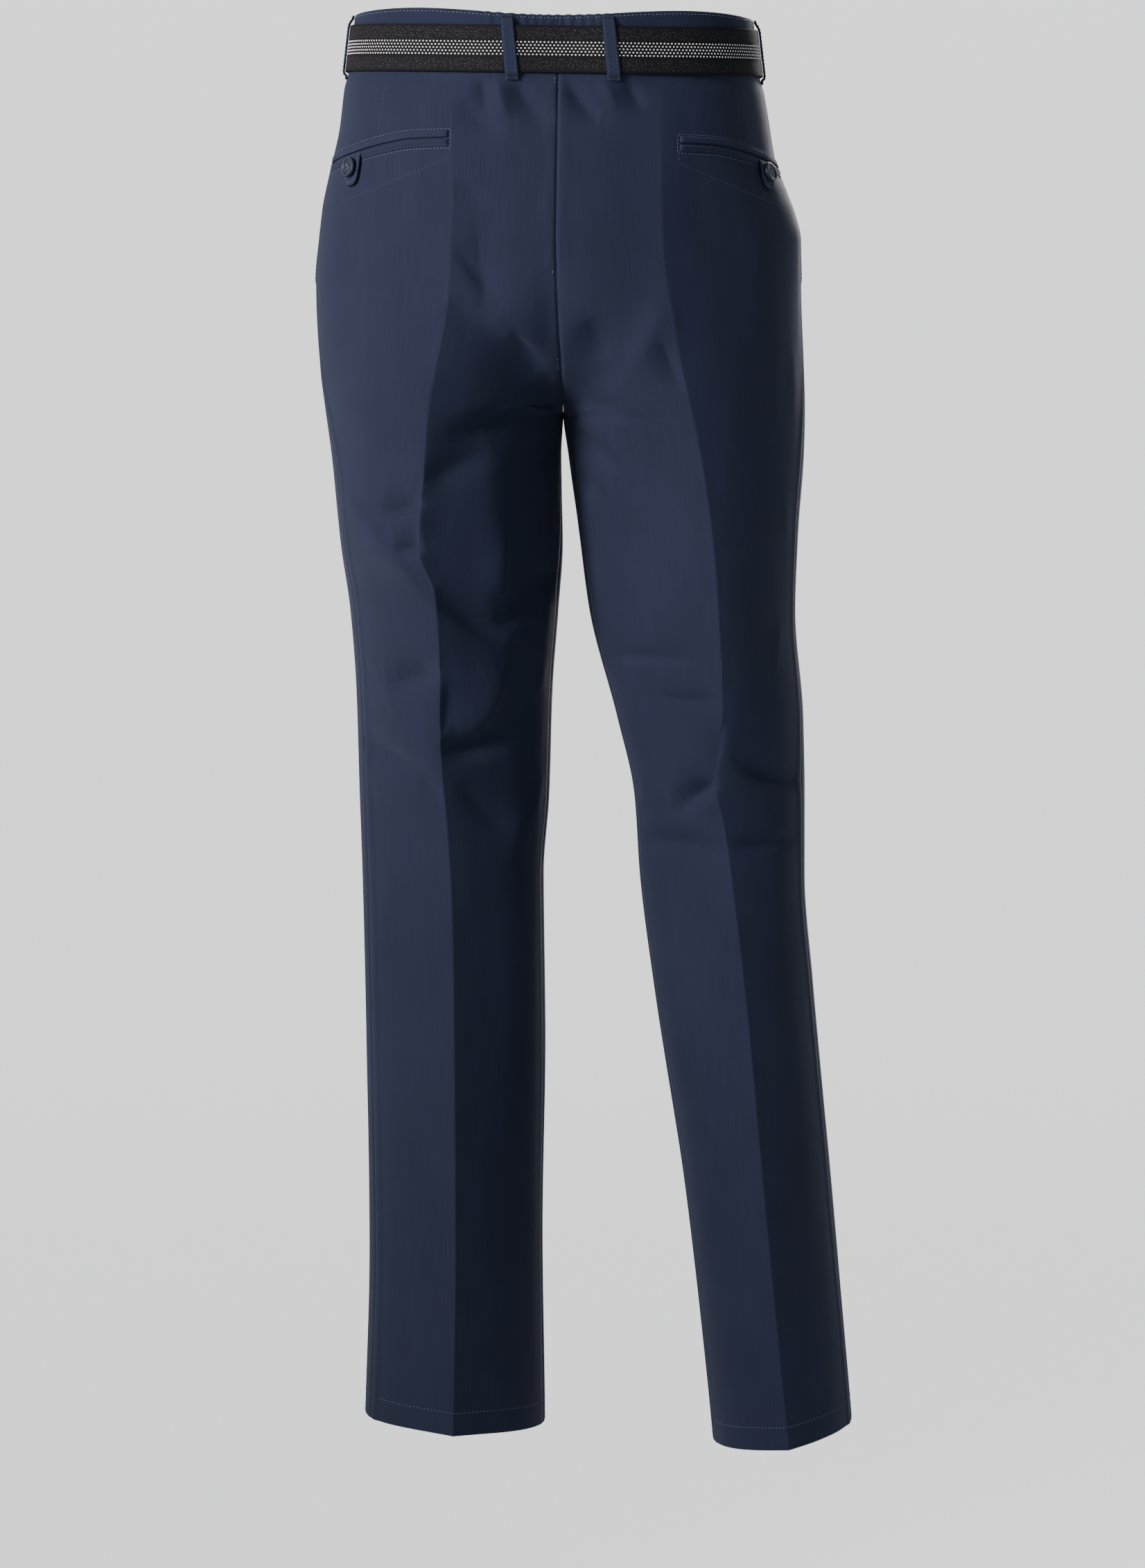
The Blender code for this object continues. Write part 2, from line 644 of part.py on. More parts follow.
def panel(plan, face):
    """One front or back panel, as a wall that is turned up inside at the hem."""
    outer, inner = [], []
    for z in panel_levels(plan):
        wall = HEM_WALL if z < plan.hem_z + HEM_HEIGHT else WALL
        turns = panel_turns(plan, z, face)
        row = [cloth_point(plan, turn, z, face) for turn in turns]
        points = [point for point, _ in row]
        normals = [normal for _, normal in row]
        side_end, seam_end = (0, -1) if face < 0 else (-1, 0)
        side_next, seam_next = (1, -2) if face < 0 else (-2, 1)
        toward = (points[side_next] - points[side_end]).normalized()
        points[side_end] = points[side_end] + toward * SEAM_GAP / 2
        if z <= CROTCH_Z:
            toward = (points[seam_next] - points[seam_end]).normalized()
            points[seam_end] = points[seam_end] + toward * SEAM_GAP / 2
        elif -plan.side * normals[seam_end].x < 0.0:
            normals[seam_end] = Vector((0.0, normals[seam_end].y, normals[seam_end].z)).normalized()
        outer.append(points)
        inner.append([point - normal * wall for point, normal in zip(points, normals)])
    name = ("back" if face < 0 else "front") + "_panel_" + plan.name
    return add_piece(name, wall_between(outer, inner), NAVY, CLOTH_ROUGHNESS)


# ---------------------------------------------------------------- pieces that lie on the panels
def tree_of(*pieces):
    """Search tree over finished pieces, in millimetres."""
    corners, faces = [], []
    for piece in pieces:
        start = len(corners)
        corners += [vertex.co / MM for vertex in piece.data.vertices]
        faces += [[start + index for index in polygon.vertices] for polygon in piece.data.polygons]
    return BVHTree.FromPolygons(corners, faces)


def place_across(plan, z, face, across):
    """Outside point and direction at a length from the centre seam, along a section."""
    inner, outer = 2.0, (0.0 if face < 0 else 4.0 + side_turn(plan, z))
    previous, length = bare_point(plan, inner, z, face), 0.0
    for step in range(1, SECTION_SAMPLES + 1):
        turn = inner + (outer - inner) * step / SECTION_SAMPLES
        point = bare_point(plan, turn, z, face)
        span = (point - previous).length
        if length + span >= across:
            part = (across - length) / span
            turn = inner + (outer - inner) * (step - 1 + part) / SECTION_SAMPLES
            return cloth_point(plan, turn, z, face)
        length += span
        previous = point
    return cloth_point(plan, outer, z, face)


def seam_length(plan, z, face):
    """Length of a section from the centre seam to the side seam."""
    side = side_turn(plan, z) + (0.0 if face < 0 else 4.0)
    turns = spaced(2.0, side, SEAM_SAMPLES) + [side]
    points = [bare_point(plan, turn, z, face) for turn in turns]
    return sum((b - a).length for a, b in zip(points, points[1:]))


def laid_grid(tree, grid, lift, thickness):
    """Two skins over a grid of (point, direction) pairs, lifted off the facets below them."""
    lower, upper = [], []
    for row in grid:
        seats = []
        for point, direction in row:
            start = point + direction * SEAT_RAY_START
            hit = tree.ray_cast(start, -direction, SEAT_RAY_REACH)[0]
            seats.append((hit if hit else point, direction))
        lower.append([seat + direction * lift for seat, direction in seats])
        upper.append([seat + direction * (lift + thickness) for seat, direction in seats])
    return upper, lower


def pocket_line(plan, along):
    """Across and level of the back pocket's opening at a length from its inner end."""
    return plan.pocket_across + along, plan.pocket_z + read_table(POCKET_LINE, along).drop


def welt(plan, tree, name, top, bottom):
    """One of the two welts of a back pocket, between two heights off the opening line."""
    grid = []
    for height in (top, bottom):
        row = []
        for step in range(WELT_STEPS + 1):
            across, z = pocket_line(plan, POCKET_WIDTH * step / WELT_STEPS)
            row.append(place_across(plan, z + height, -1, across))
        grid.append(row)
    upper, lower = laid_grid(tree, grid, LAY_GAP, WELT_THICK)
    return add_piece(name, wall_between(upper, lower), NAVY_TRIM, CLOTH_ROUGHNESS)


def button_tab(plan, tree):
    """Cloth tab that comes out of the pocket and takes the button, with a rounded tip."""
    grid = []
    for step in range(TAB_STEPS[0] + 1):
        share = step / TAB_STEPS[0]
        drop = POCKET_OPENING + TAB_LENGTH * math.sin(share * math.pi / 2.0)
        narrowed = math.cos(share * math.pi / 2.0) ** TAB_ROUNDING
        half = TAB_HALF_WIDTH * (TAB_TIP_SHARE + (1.0 - TAB_TIP_SHARE) * narrowed)
        row = []
        for side_step in range(TAB_STEPS[1] + 1):
            along = TAB_ALONG + half * (2.0 * side_step / TAB_STEPS[1] - 1.0)
            across, z = pocket_line(plan, along)
            row.append(place_across(plan, z - drop, -1, across))
        grid.append(row)
    lift = LAY_GAP + WELT_THICK + SEAM_GAP
    upper, lower = laid_grid(tree, grid, lift, TAB_THICK)
    return add_piece("pocket_tab_" + plan.name, wall_between(upper, lower), NAVY_TRIM, CLOTH_ROUGHNESS)


def button(name, centre, direction, thickness):
    """Four-hole button with a raised rim and a dished middle, its back at the centre given."""
    radius = BUTTON_DIAMETER / 2.0
    dish = thickness - BUTTON_DISH
    rounded = radius - BUTTON_EDGE
    profile = ((0.0, 0.0), (rounded, 0.0), (radius, BUTTON_EDGE), (radius, thickness - BUTTON_EDGE),
               (rounded, thickness), (radius - BUTTON_RIM, thickness),
               (rounded - BUTTON_RIM, dish), (0.0, dish))
    shape = bmesh.new()
    ring = [shape.verts.new((r, 0.0, h)) for r, h in profile]
    for low, high in zip(ring, ring[1:]):
        shape.edges.new((low, high))
    bmesh.ops.spin(shape, geom=shape.verts[:] + shape.edges[:], cent=(0, 0, 0), axis=(0, 0, 1),
                   angle=math.tau, steps=BUTTON_STEPS, use_merge=True)
    bmesh.ops.remove_doubles(shape, verts=shape.verts[:], dist=0.001)
    turn = Vector((0, 0, 1)).rotation_difference(direction).to_matrix().to_4x4()
    turn.translation = centre
    bmesh.ops.transform(shape, matrix=turn, verts=shape.verts[:])
    piece = add_piece(name, shape, BUTTON_BLUE, 0.35, sharp_angle=30.0)
    holes = bmesh.new()
    for index in range(4):
        angle = math.radians(45.0 + 90.0 * index)
        made = bmesh.ops.create_cone(holes, cap_ends=True, segments=HOLE_STEPS, radius1=BUTTON_HOLE / 2.0,
                                     radius2=BUTTON_HOLE / 2.0, depth=3.0 * thickness)
        shift = Vector((math.cos(angle), math.sin(angle), 0.0)) * BUTTON_HOLE_PITCH / math.sqrt(2.0)
        bmesh.ops.translate(holes, vec=shift, verts=made["verts"])
    bmesh.ops.transform(holes, matrix=turn, verts=holes.verts[:])
    cutter = add_piece(name + "_holes", holes, BUTTON_BLUE, 0.5)
    cutter.hide_render = True
    cutter.display_type = "WIRE"
    cut = piece.modifiers.new("thread_holes", "BOOLEAN")
    cut.operation = "DIFFERENCE"
    cut.object = cutter
    return piece


def front_pocket_edge(plan, tree):
    """Doubled edge of the slanted front pocket, from the waistband to the side seam."""
    top_z = BELOW_BELT_Z
    grid = []
    for step in range(EDGE_STEPS[0] + 1):
        share = step / EDGE_STEPS[0]
        z = top_z + (FRONT_POCKET_END_Z - top_z) * share
        narrowing = (1.0 - share) ** FRONT_POCKET_CURVE
        forward = FRONT_POCKET_FOOT + (FRONT_POCKET_TOP - FRONT_POCKET_FOOT) * narrowing
        mouth = seam_length(plan, z, 1) - forward
        parts = [part / EDGE_STEPS[1] for part in range(EDGE_STEPS[1] + 1)]
        grid.append([place_across(plan, z, 1, mouth - FRONT_POCKET_EDGE * part) for part in parts])
    upper, lower = laid_grid(tree, grid, LAY_GAP, WELT_THICK)
    return add_piece("front_pocket_edge_" + plan.name, wall_between(upper, lower), NAVY_TRIM, CLOTH_ROUGHNESS)


def fly_row(z, offsets):
    """Points and directions at distances from the centre front, minus to the wearer's left."""
    row = []
    for offset in offsets:
        plan = LEFT_PLAN if offset < 0.0 else RIGHT_PLAN
        row.append(place_across(plan, z, 1, abs(offset)))
    return row


def fly_flap(tree):
    """Flap of the fly: it laps over the right front and ends in a J at the bottom."""
    top_z = BELOW_BELT_Z
    grid = []
    for step in range(FLY_STEPS[0] + 1):
        share = step / FLY_STEPS[0]
        z = top_z + (FLY_END_Z - top_z) * math.sin(share * math.pi / 2.0)
        into_curve = smooth_step(FLY_END_Z + FLY_CURVE, FLY_END_Z, z)
        left = -FLY_WIDTH * math.sqrt(max(1.0 - into_curve ** 2, 0.0)) - FLY_TIP
        right = FLY_LAP * (1.0 - into_curve) + FLY_TIP * into_curve
        grid.append(fly_row(z, spaced(left, right, FLY_STEPS[1]) + [right]))
    upper, lower = laid_grid(tree, grid, LAY_GAP, WALL)
    return add_piece("fly_flap", wall_between(upper, lower), NAVY_TRIM, CLOTH_ROUGHNESS)


def fly_zip(tree):
    """Zip tape behind the fly, with its slider and pull in the channel that the fly covers."""
    top_z = WAIST_SEAM_Z - 2.0
    grid = []
    middle = ZIP_STEPS[1] // 2
    offsets = [ZIP_HALF_WIDTH * part / middle for part in range(-middle, middle + 1)]
    for z in spaced(top_z, ZIP_END_Z, ZIP_STEPS[0]) + [ZIP_END_Z]:
        grid.append(fly_row(z, offsets))
    outer, inner = laid_grid(tree, grid, -WALL - LAY_GAP - ZIP_TAPE, ZIP_TAPE)
    for column in range(ZIP_STEPS[1] + 1):
        sink = ZIP_DEPTH * smooth_step(1.0, ZIP_CHANNEL, abs(column - middle) / middle)
        for row in range(len(grid)):
            inward = grid[row][column][1] * -sink
            outer[row][column] = outer[row][column] + inward
            inner[row][column] = inner[row][column] + inward
    add_piece("fly_zip_tape", wall_between(outer, inner), BUTTON_BLUE, 0.7)
    lift = -WALL - LAY_GAP - ZIP_DEPTH + SEAM_GAP
    for name, size in (("fly_zip_slider", SLIDER), ("fly_zip_pull", PULL)):
        width, thick, length = size
        across = (-width / 2.0, 0.0, width / 2.0)
        grid = [fly_row(SLIDER_Z - length * down, across) for down in (0.0, 0.5, 1.0)]
        upper, lower = laid_grid(tree, grid, lift, thick)
        add_piece(name, wall_between(upper, lower), ZIP_METAL, 0.35, 1.0)
        lift += thick + SEAM_GAP


# ---------------------------------------------------------------- the waist
def waist_ring():
    """Outside of the waist as (x, y, length) from the centre front round by the wearer's left."""
    path = []
    for plan, face, start, end in ((LEFT_PLAN, 1, 2.0, 4.0), (LEFT_PLAN, -1, 0.0, 2.0),
                                   (RIGHT_PLAN, -1, 2.0, 0.0), (RIGHT_PLAN, 1, 4.0, 2.0)):
        for turn in spaced(start, end, RING_STEPS):
            point = bare_point(plan, turn, 0.0, face)
            path.append((point.x, point.y))
    path.append(path[0])
    ring, length = [], 0.0
    for index, (x, y) in enumerate(path):
        if index:
            length += math.hypot(x - path[index - 1][0], y - path[index - 1][1])
        ring.append((x, y, length))
    return ring


RING = waist_ring()
GIRTH = RING[-1][2]
SIDE_LEFT = RING[RING_STEPS][2]
CENTRE_BACK = RING[2 * RING_STEPS][2]
SIDE_RIGHT = RING[3 * RING_STEPS][2]


def waist_place(along, out):
    """(x, y) at a length round the waist and a distance outside the waistband."""
    def on_ring(length):
        length %= GIRTH
        low, high = 0, len(RING) - 1
        while high - low > 1:
            middle = (low + high) // 2
            if RING[middle][2] <= length:
                low = middle
            else:
                high = middle
        a, b = RING[low], RING[high]
        share = (length - a[2]) / (b[2] - a[2])
        return Vector((a[0] + (b[0] - a[0]) * share, a[1] + (b[1] - a[1]) * share, 0.0))
    forward = (on_ring(along + RING_REACH) - on_ring(along - RING_REACH)).normalized()
    outward = Vector((forward.y, -forward.x, 0.0))
    return on_ring(along) + outward * out, outward


def waist_point(along, out, z):
    """Point at a length round the waist, a distance outside it, at a height."""
    place, _ = waist_place(along, out - WAIST_FLARE * z)
    place.z = z + waist_rise(place.x, place.y)
    return place


def band_top(s):
    """Height of the waistband's top edge, which stands up on both sides of the back."""
    quarter = GIRTH / 4.0
    if s < quarter or s > 3.0 * quarter:
        return WAISTBAND_TOP_Z
    return WAISTBAND_TOP_Z + WAISTBAND_CROWN * math.sin(math.pi * (s - quarter) / quarter) ** 2


def waistband(name, stations, out_at):
    """Wall round part of the waist; out_at gives its outside at each station."""
    outer, inner = [], []
    for share in (0.0, 0.5, 1.0):
        heights = [band_top(s) + (WAIST_SEAM_Z - band_top(s)) * share for s in stations]
        outer.append([waist_point(s, out_at(s), z) for s, z in zip(stations, heights)])
        inner.append([waist_point(s, out_at(s) - WAISTBAND_WALL, z) for s, z in zip(stations, heights)])
    return add_piece(name, wall_between(outer, inner), NAVY, CLOTH_ROUGHNESS)


def waistbands():
    """Two halves of the waistband: sewn at the back, the left end lapped over the right one."""
    left_end = CENTRE_BACK - SEAM_GAP / 2
    left = [-WAISTBAND_LAP, -WAISTBAND_LAP / 2] + spaced(0.0, left_end, BAND_STEPS_LEFT) + [left_end]
    waistband("waistband_left", left, lambda s: 0.0)
    under = WAISTBAND_WALL + SEAM_GAP
    lap_start = GIRTH - WAISTBAND_LAP - 1.0
    dip_start = lap_start - LAP_DIP
    right_end = GIRTH + WAISTBAND_UNDERLAP

    def right_out(s):
        return -under * smooth_step(dip_start, lap_start, s)

    right = spaced(CENTRE_BACK + SEAM_GAP / 2, dip_start, BAND_STEPS_RIGHT[0])
    right += spaced(dip_start, lap_start, BAND_STEPS_RIGHT[1])
    right += spaced(lap_start, right_end, BAND_STEPS_RIGHT[2]) + [right_end]
    waistband("waistband_right", right, right_out)


def belt_out(s):
    """Outside of the belt's layer: s starts in the buckle, goes round once and through it again."""
    half = BUCKLE_LENGTH / 2.0
    first = BELT_GAP + BELT_THICK
    second = first + BELT_LAYER_GAP + BELT_THICK
    in_buckle = BUCKLE_STANDOFF + BUCKLE_WALL + BUCKLE_CLEAR + BELT_THICK
    in_buckle_second = in_buckle + BELT_LAYER_GAP + BELT_THICK
    if s < GIRTH / 2.0:
        return first + (in_buckle - first) * smooth_step(half + BELT_RISE, half, s)
    if s < GIRTH:
        return first + (in_buckle_second - first) * smooth_step(GIRTH - half - BELT_RISE, GIRTH - half, s)
    return second + (in_buckle_second - second) * smooth_step(GIRTH + half + BELT_RISE, GIRTH + half, s)


def belt_strap():
    """Webbing strap in one length, from inside the buckle once round and out through it."""
    end = GIRTH + BELT_TAIL
    plain = (BELT_BEND, GIRTH - BELT_BEND)
    stations = spaced(BELT_START, plain[0], BELT_STEPS[0]) + spaced(*plain, BELT_STEPS[1])
    stations += spaced(plain[1], end, BELT_STEPS[2]) + [end]
    heights = (BELT_HEIGHT / 2.0, -BELT_HEIGHT / 2.0)
    outer = [[waist_point(s, belt_out(s), z) for s in stations] for z in heights]
    inner = [[waist_point(s, belt_out(s) - BELT_THICK, z) for s in stations] for z in heights]
    add_piece("belt_strap", wall_between(outer, inner), WEBBING_BLACK, 0.75)


def belt_buckle():
    """Box buckle: a sleeve that follows the waist and takes both layers of the strap."""
    layers = 2.0 * BELT_THICK + BELT_LAYER_GAP
    low = BUCKLE_STANDOFF + BUCKLE_WALL
    high = low + layers + 2.0 * BUCKLE_CLEAR
    half = BELT_HEIGHT / 2.0 + BUCKLE_CLEAR
    stations = [BUCKLE_LENGTH * (step / BUCKLE_STEPS - 0.5) for step in range(BUCKLE_STEPS + 1)]
    skins = []
    for grow in (BUCKLE_WALL, 0.0):
        corners = ((low - grow, -half - grow), (high + grow, -half - grow),
                   (high + grow, half + grow), (low - grow, half + grow))
        skins.append([[waist_point(s, out, z) for out, z in corners] for s in stations])
    shape = bmesh.new()
    outer, inner = [[[shape.verts.new(point) for point in ring] for ring in skin] for skin in skins]
    for corner in range(4):
        other = (corner + 1) % 4
        for skin in (outer, inner):
            for here, there in zip(skin, skin[1:]):
                shape.faces.new((here[corner], here[other], there[other], there[corner]))
        for end in (0, -1):
            shape.faces.new((outer[end][corner], outer[end][other], inner[end][other], inner[end][corner]))
    add_piece("belt_buckle", shape, BUCKLE_GREY, 0.35, 1.0)


def belt_loop(name, along, tree, lean=0.0):
    """Loop that stands over the belt, its head on the waistband and its foot on the panels."""
    belt_clear = BELT_GAP + BELT_THICK + LOOP_GAP
    foot_heights = (LOOP_FOOT_Z + LOOP_FOOT_LENGTH, LOOP_FOOT_Z)
    feet = []
    for z in foot_heights:
        swell = []
        for beside in (-LOOP_WIDTH / 2.0, -LOOP_WIDTH / 8.0, LOOP_WIDTH / 8.0, LOOP_WIDTH / 2.0):
            start = waist_point(along + lean + beside, FOOT_REACH, z)
            _, outward = waist_place(along + lean + beside, 0.0)
            hit = tree.ray_cast(start, -outward, FOOT_RAY_REACH)[0]
            swell.append(FOOT_REACH - (start - hit).length)
        feet.append(max(swell) + LOOP_GAP)
    highest = BELT_HEIGHT / 2.0
    path = [(LOOP_GAP, LOOP_TOP_Z), (LOOP_GAP, LOOP_TOP_Z - LOOP_HEAD), (belt_clear - 0.6, highest + 2.0),
            (belt_clear, highest - 1.0), (belt_clear, -highest + 1.0), (belt_clear - 0.2, -highest - 0.8),
            (max(feet[0], LOOP_GAP), foot_heights[0]), (feet[1], foot_heights[1])]
    inner, outer = [], []
    for index, (out, z) in enumerate(path):
        before, after = path[max(index - 1, 0)], path[min(index + 1, len(path) - 1)]
        run = math.hypot(after[0] - before[0], after[1] - before[1])
        normal = (-(after[1] - before[1]) / run, (after[0] - before[0]) / run)
        shift = lean * (LOOP_TOP_Z - z) / (LOOP_TOP_Z - LOOP_FOOT_Z)
        ends = (along + shift - LOOP_WIDTH / 2.0, along + shift + LOOP_WIDTH / 2.0)
        inner.append([waist_point(s, out, z) for s in ends])
        outer_out = out + normal[0] * LOOP_THICK
        outer_z = z + normal[1] * LOOP_THICK
        outer.append([waist_point(s, outer_out, outer_z) for s in ends])
    add_piece(name, wall_between(outer, inner), NAVY_TRIM, CLOTH_ROUGHNESS)


def along_at_x(x, face):
    """Length round the waist of the place with this x on the back or the front."""
    best = min((abs(px - x), s) for px, py, s in RING if (py > 0.0) == (face > 0))
    return best[1]


def build():
    """All pieces, from the panels outwards."""
    for old in list(bpy.data.objects):
        bpy.data.objects.remove(old, do_unlink=True)
    backs = [panel(plan, -1) for plan in PLANS]
    fronts = [panel(plan, 1) for plan in PLANS]
    everywhere = tree_of(*backs, *fronts)
    front_tree = tree_of(*fronts)
    for plan, back, front in zip(PLANS, backs, fronts):
        back_tree = tree_of(back)
        lip = POCKET_OPENING / 2.0
        welt(plan, back_tree, "back_pocket_upper_welt_" + plan.name, lip + WELT_HEIGHT, lip)
        welt(plan, back_tree, "back_pocket_lower_welt_" + plan.name, -lip, -lip - WELT_HEIGHT)
        button_tab(plan, back_tree)
        across, z = pocket_line(plan, TAB_ALONG)
        seat, direction = place_across(plan, z - TAB_BUTTON_DROP, -1, across)
        lift = LAY_GAP + WELT_THICK + SEAM_GAP + TAB_THICK + POCKET_BUTTON_GAP
        button("pocket_button_" + plan.name, seat + direction * lift, direction, BUTTON_THICK)
        front_pocket_edge(plan, tree_of(front))
    fly_flap(front_tree)
    fly_zip(front_tree)
    waistbands()
    _, outward = waist_place(0.0, 0.0)
    outward.z = WAIST_FLARE
    seat = waist_point(0.0, WAIST_BUTTON_GAP, WAIST_BUTTON_Z)
    button("waist_button", seat, outward.normalized(), WAIST_BUTTON_THICK)
    belt_strap()
    belt_buckle()
    for loop in LOOPS:
        belt_loop("belt_loop_" + loop.name, along_at_x(loop.x, loop.face), everywhere, loop.lean)
    belt_loop("belt_loop_side_left", SIDE_LEFT, everywhere)
    belt_loop("belt_loop_side_right", SIDE_RIGHT, everywhere)


build()
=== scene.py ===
"""Chino trousers with their webbing belt: the finished surfaces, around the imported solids.

Every cloth piece follows the same level sections as its solid.  A place on a section of one
half is a turn (0 side seam, 1 back crease, 2 inner seam, 3 front crease, 4 side seam again)
and a level z.  Forms are worked out in millimetres and become metres when a mesh is made.
+X is the wearer's right, +Y the wearer's front, +Z up.
"""

import logging
import math
from dataclasses import dataclass
from enum import Enum
from typing import Any, Callable, NamedTuple, Sequence

import bmesh
import bpy
import numpy as np
from mathutils import Matrix, Vector


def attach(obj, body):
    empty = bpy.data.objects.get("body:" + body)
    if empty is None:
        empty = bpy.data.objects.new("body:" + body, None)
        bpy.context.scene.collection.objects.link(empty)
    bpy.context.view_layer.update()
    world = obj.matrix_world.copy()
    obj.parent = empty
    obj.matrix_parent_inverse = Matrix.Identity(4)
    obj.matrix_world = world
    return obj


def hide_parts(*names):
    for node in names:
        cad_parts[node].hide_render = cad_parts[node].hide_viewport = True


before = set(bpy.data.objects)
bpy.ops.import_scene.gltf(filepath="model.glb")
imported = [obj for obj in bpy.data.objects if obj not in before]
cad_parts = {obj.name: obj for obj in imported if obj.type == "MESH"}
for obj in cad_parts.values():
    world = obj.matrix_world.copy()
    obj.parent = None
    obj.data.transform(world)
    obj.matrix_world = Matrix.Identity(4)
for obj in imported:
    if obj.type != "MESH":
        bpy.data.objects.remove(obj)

MM = 0.001
BODY = "root"
LOG = logging.getLogger("trousers")

Colour = tuple[float, float, float]
Triple = tuple[float, float, float]
Array = np.ndarray
Piece = bpy.types.Object
Material = bpy.types.Material

# ---------------------------------------------------------------- driving sizes, millimetres
SEAM_GAP = 0.3
CLOTH = 0.9                  # one layer of the cloth
HEM_HEIGHT = 18.0
HEM_FOLD = 1.2               # radius of the turned-up bottom edge

WAIST_SEAM_Z = -11.5
WAISTBAND_TOP_Z = 25.3
WAISTBAND_WALL = 3.0
WAISTBAND_LAP = 12.0
WAISTBAND_UNDERLAP = 26.0
LAP_DIP = 13.0
WAISTBAND_CROWN = 4.2
WAIST_TILT_X = -0.0125
WAIST_SIDE_RISE = 2.4
WAIST_DEPTH = 108.0
WAIST_FLARE = 0.115

CROTCH_Z = -270.0
CROTCH_Y = 2.0
CROTCH_RISE = {-1: 95.0, 1: 80.0}
CROTCH_VALLEY_TURN = 78.0
HANDLE = 0.55

BELT_HEIGHT = 35.0
BELOW_BELT_Z = -20.0
BELT_THICK = 2.2
BELT_GAP = 0.5
BELT_TAIL = 62.0
BELT_LAYER_GAP = 0.3
BELT_START = 6.0
BELT_RISE = 32.0
BUCKLE_LENGTH = 42.0
BUCKLE_WALL = 1.3
BUCKLE_STANDOFF = 2.9
BUCKLE_CLEAR = 0.4

POCKET_WIDTH = 138.0
POCKET_OPENING = 0.4
WELT_HEIGHT = 5.6
TAB_ALONG = 88.0
TAB_BUTTON_DROP = 10.5
DART_DEPTHS = (16.0, 54.0)

INSEAM_TURN = 1.87
INSEAM_TURN_RUN = 130.0
SIDE_TURN_LEVELS = (-168.0, -340.0)
WAIST_TILT_END_Z = -150.0
HEM_TILT_START_Z = -820.0
FOLD_LEVELS = (-19.0, -30.0)
FOLD_SAMPLES = 36
FOLD_REACH = 3.0             # widths past which a fold is nothing
FOLD_TIP = 0.05              # share of half a wave that is left out at both ends of a fold
FOLD_CRISPNESS = 1.6         # 2 is a round trough, 1 a sharp one
FOLD_FACING = (0.08, 0.5)    # how squarely cloth has to face a side to take that side's folds
STREAK_DEPTH = 0.10
WAVE_DEPTH = 0.22
SEAT_SEAM_REACH = 0.16
SEAT_SEAM_FADE = 26.0
NORMAL_TURN = 0.02
NORMAL_RISE = 2.0
SECTION_SAMPLES = 240
LAST_TURN = 3.9999           # just short of the side seam again
RING_STEPS = 180
RING_REACH = 4.0
BEAD_BATCH = 240             # beads that are made in one bmesh
SHARP_ANGLE = 38.0


class Fold(NamedTuple):
    """Trough (depth above 0) or ridge (below 0) along a curve of three points, seen from behind.

    Its two sides fall off over widths of their own, on the left and on the right of the way
    from the first point to the last, so that one of them can be steep and the other gentle.
    """

    x_a: float
    z_a: float
    x_b: float
    z_b: float
    x_c: float
    z_c: float
    depth: float
    left: float
    right: float


# Seat seam: level, x, y behind and y in front.
CENTRE_SEAM = (
    (30, 1.5, -104.5, 103.5), (-17, 1.5, -109.9, 108.9), (-18, 1.5, -110, 109), (-30, 1.3, -113.5, 110),
    (-60, 0.8, -119, 112), (-100, 0.2, -125.5, 113), (-140, -0.3, -130.5, 113),
    (-175, 0.4, -132.5, 111), (-210, 2.0, -129.5, 108), (-240, 4.0, -120, 105),
    (-270, 5.0, -105.5, 102),
)

# Ends of a section: level, x and y of its side end, x and y of its inner end.
LEFT_OUTLINE = (
    (30, -151.5, 0, 4.85, 2), (-17, -156.9, 0, 4.85, 2), (-18, -157.0, 0, 4.85, 2),
    (-30, -159.5, 0, 4.85, 2), (-60, -163.5, 0, 4.85, 2), (-90, -170.5, -1, 4.85, 2),
    (-120, -176.5, -3, 4.85, 2), (-175, -181.0, -5, 4.85, 2), (-235, -179.0, -4, 4.85, 2),
    (-270, -175.0, -2, 4.85, 2), (-300, -171.0, 0, 3.3, 3), (-370, -164.0, 3, 4.8, 5),
    (-420, -157.0, 5, 1.5, 7), (-480, -152.5, 7, -3.0, 8), (-560, -150.0, 7, -5.5, 7),
    (-620, -148.0, 3, -9.8, 3), (-750, -145.0, -4, -8.5, -4), (-900, -143.0, -6, -10.5, -6),
    (-1042, -147.0, -8, -9.0, -8),
)

RIGHT_OUTLINE = (
    (30, 147.9, 0, 5.15, 2), (-17, 153.3, 0, 5.15, 2), (-18, 153.4, 0, 5.15, 2),
    (-30, 156.0, 0, 5.15, 2), (-50, 159.5, 0, 5.15, 2), (-80, 164.5, -1, 5.15, 2),
    (-104, 173.5, -2, 5.15, 2), (-120, 179.5, -3, 5.15, 2), (-140, 184.0, -4, 5.15, 2),
    (-175, 184.0, -5, 5.15, 2), (-270, 188.0, -3, 5.15, 2), (-300, 187.5, -3, 9.0, 1),
    (-360, 183.5, -3, 17.0, 0), (-420, 181.5, -3, 25.0, -1), (-500, 187.5, -4, 46.0, -2),
    (-560, 188.5, -6, 59.0, -4), (-620, 188.5, -10, 63.0, -8), (-700, 194.5, -16, 73.0, -15),
    (-850, 208.5, -25, 96.5, -24), (-1000, 221.5, -29, 115.0, -29), (-1050, 225.5, -30, 120.0, -30),
)

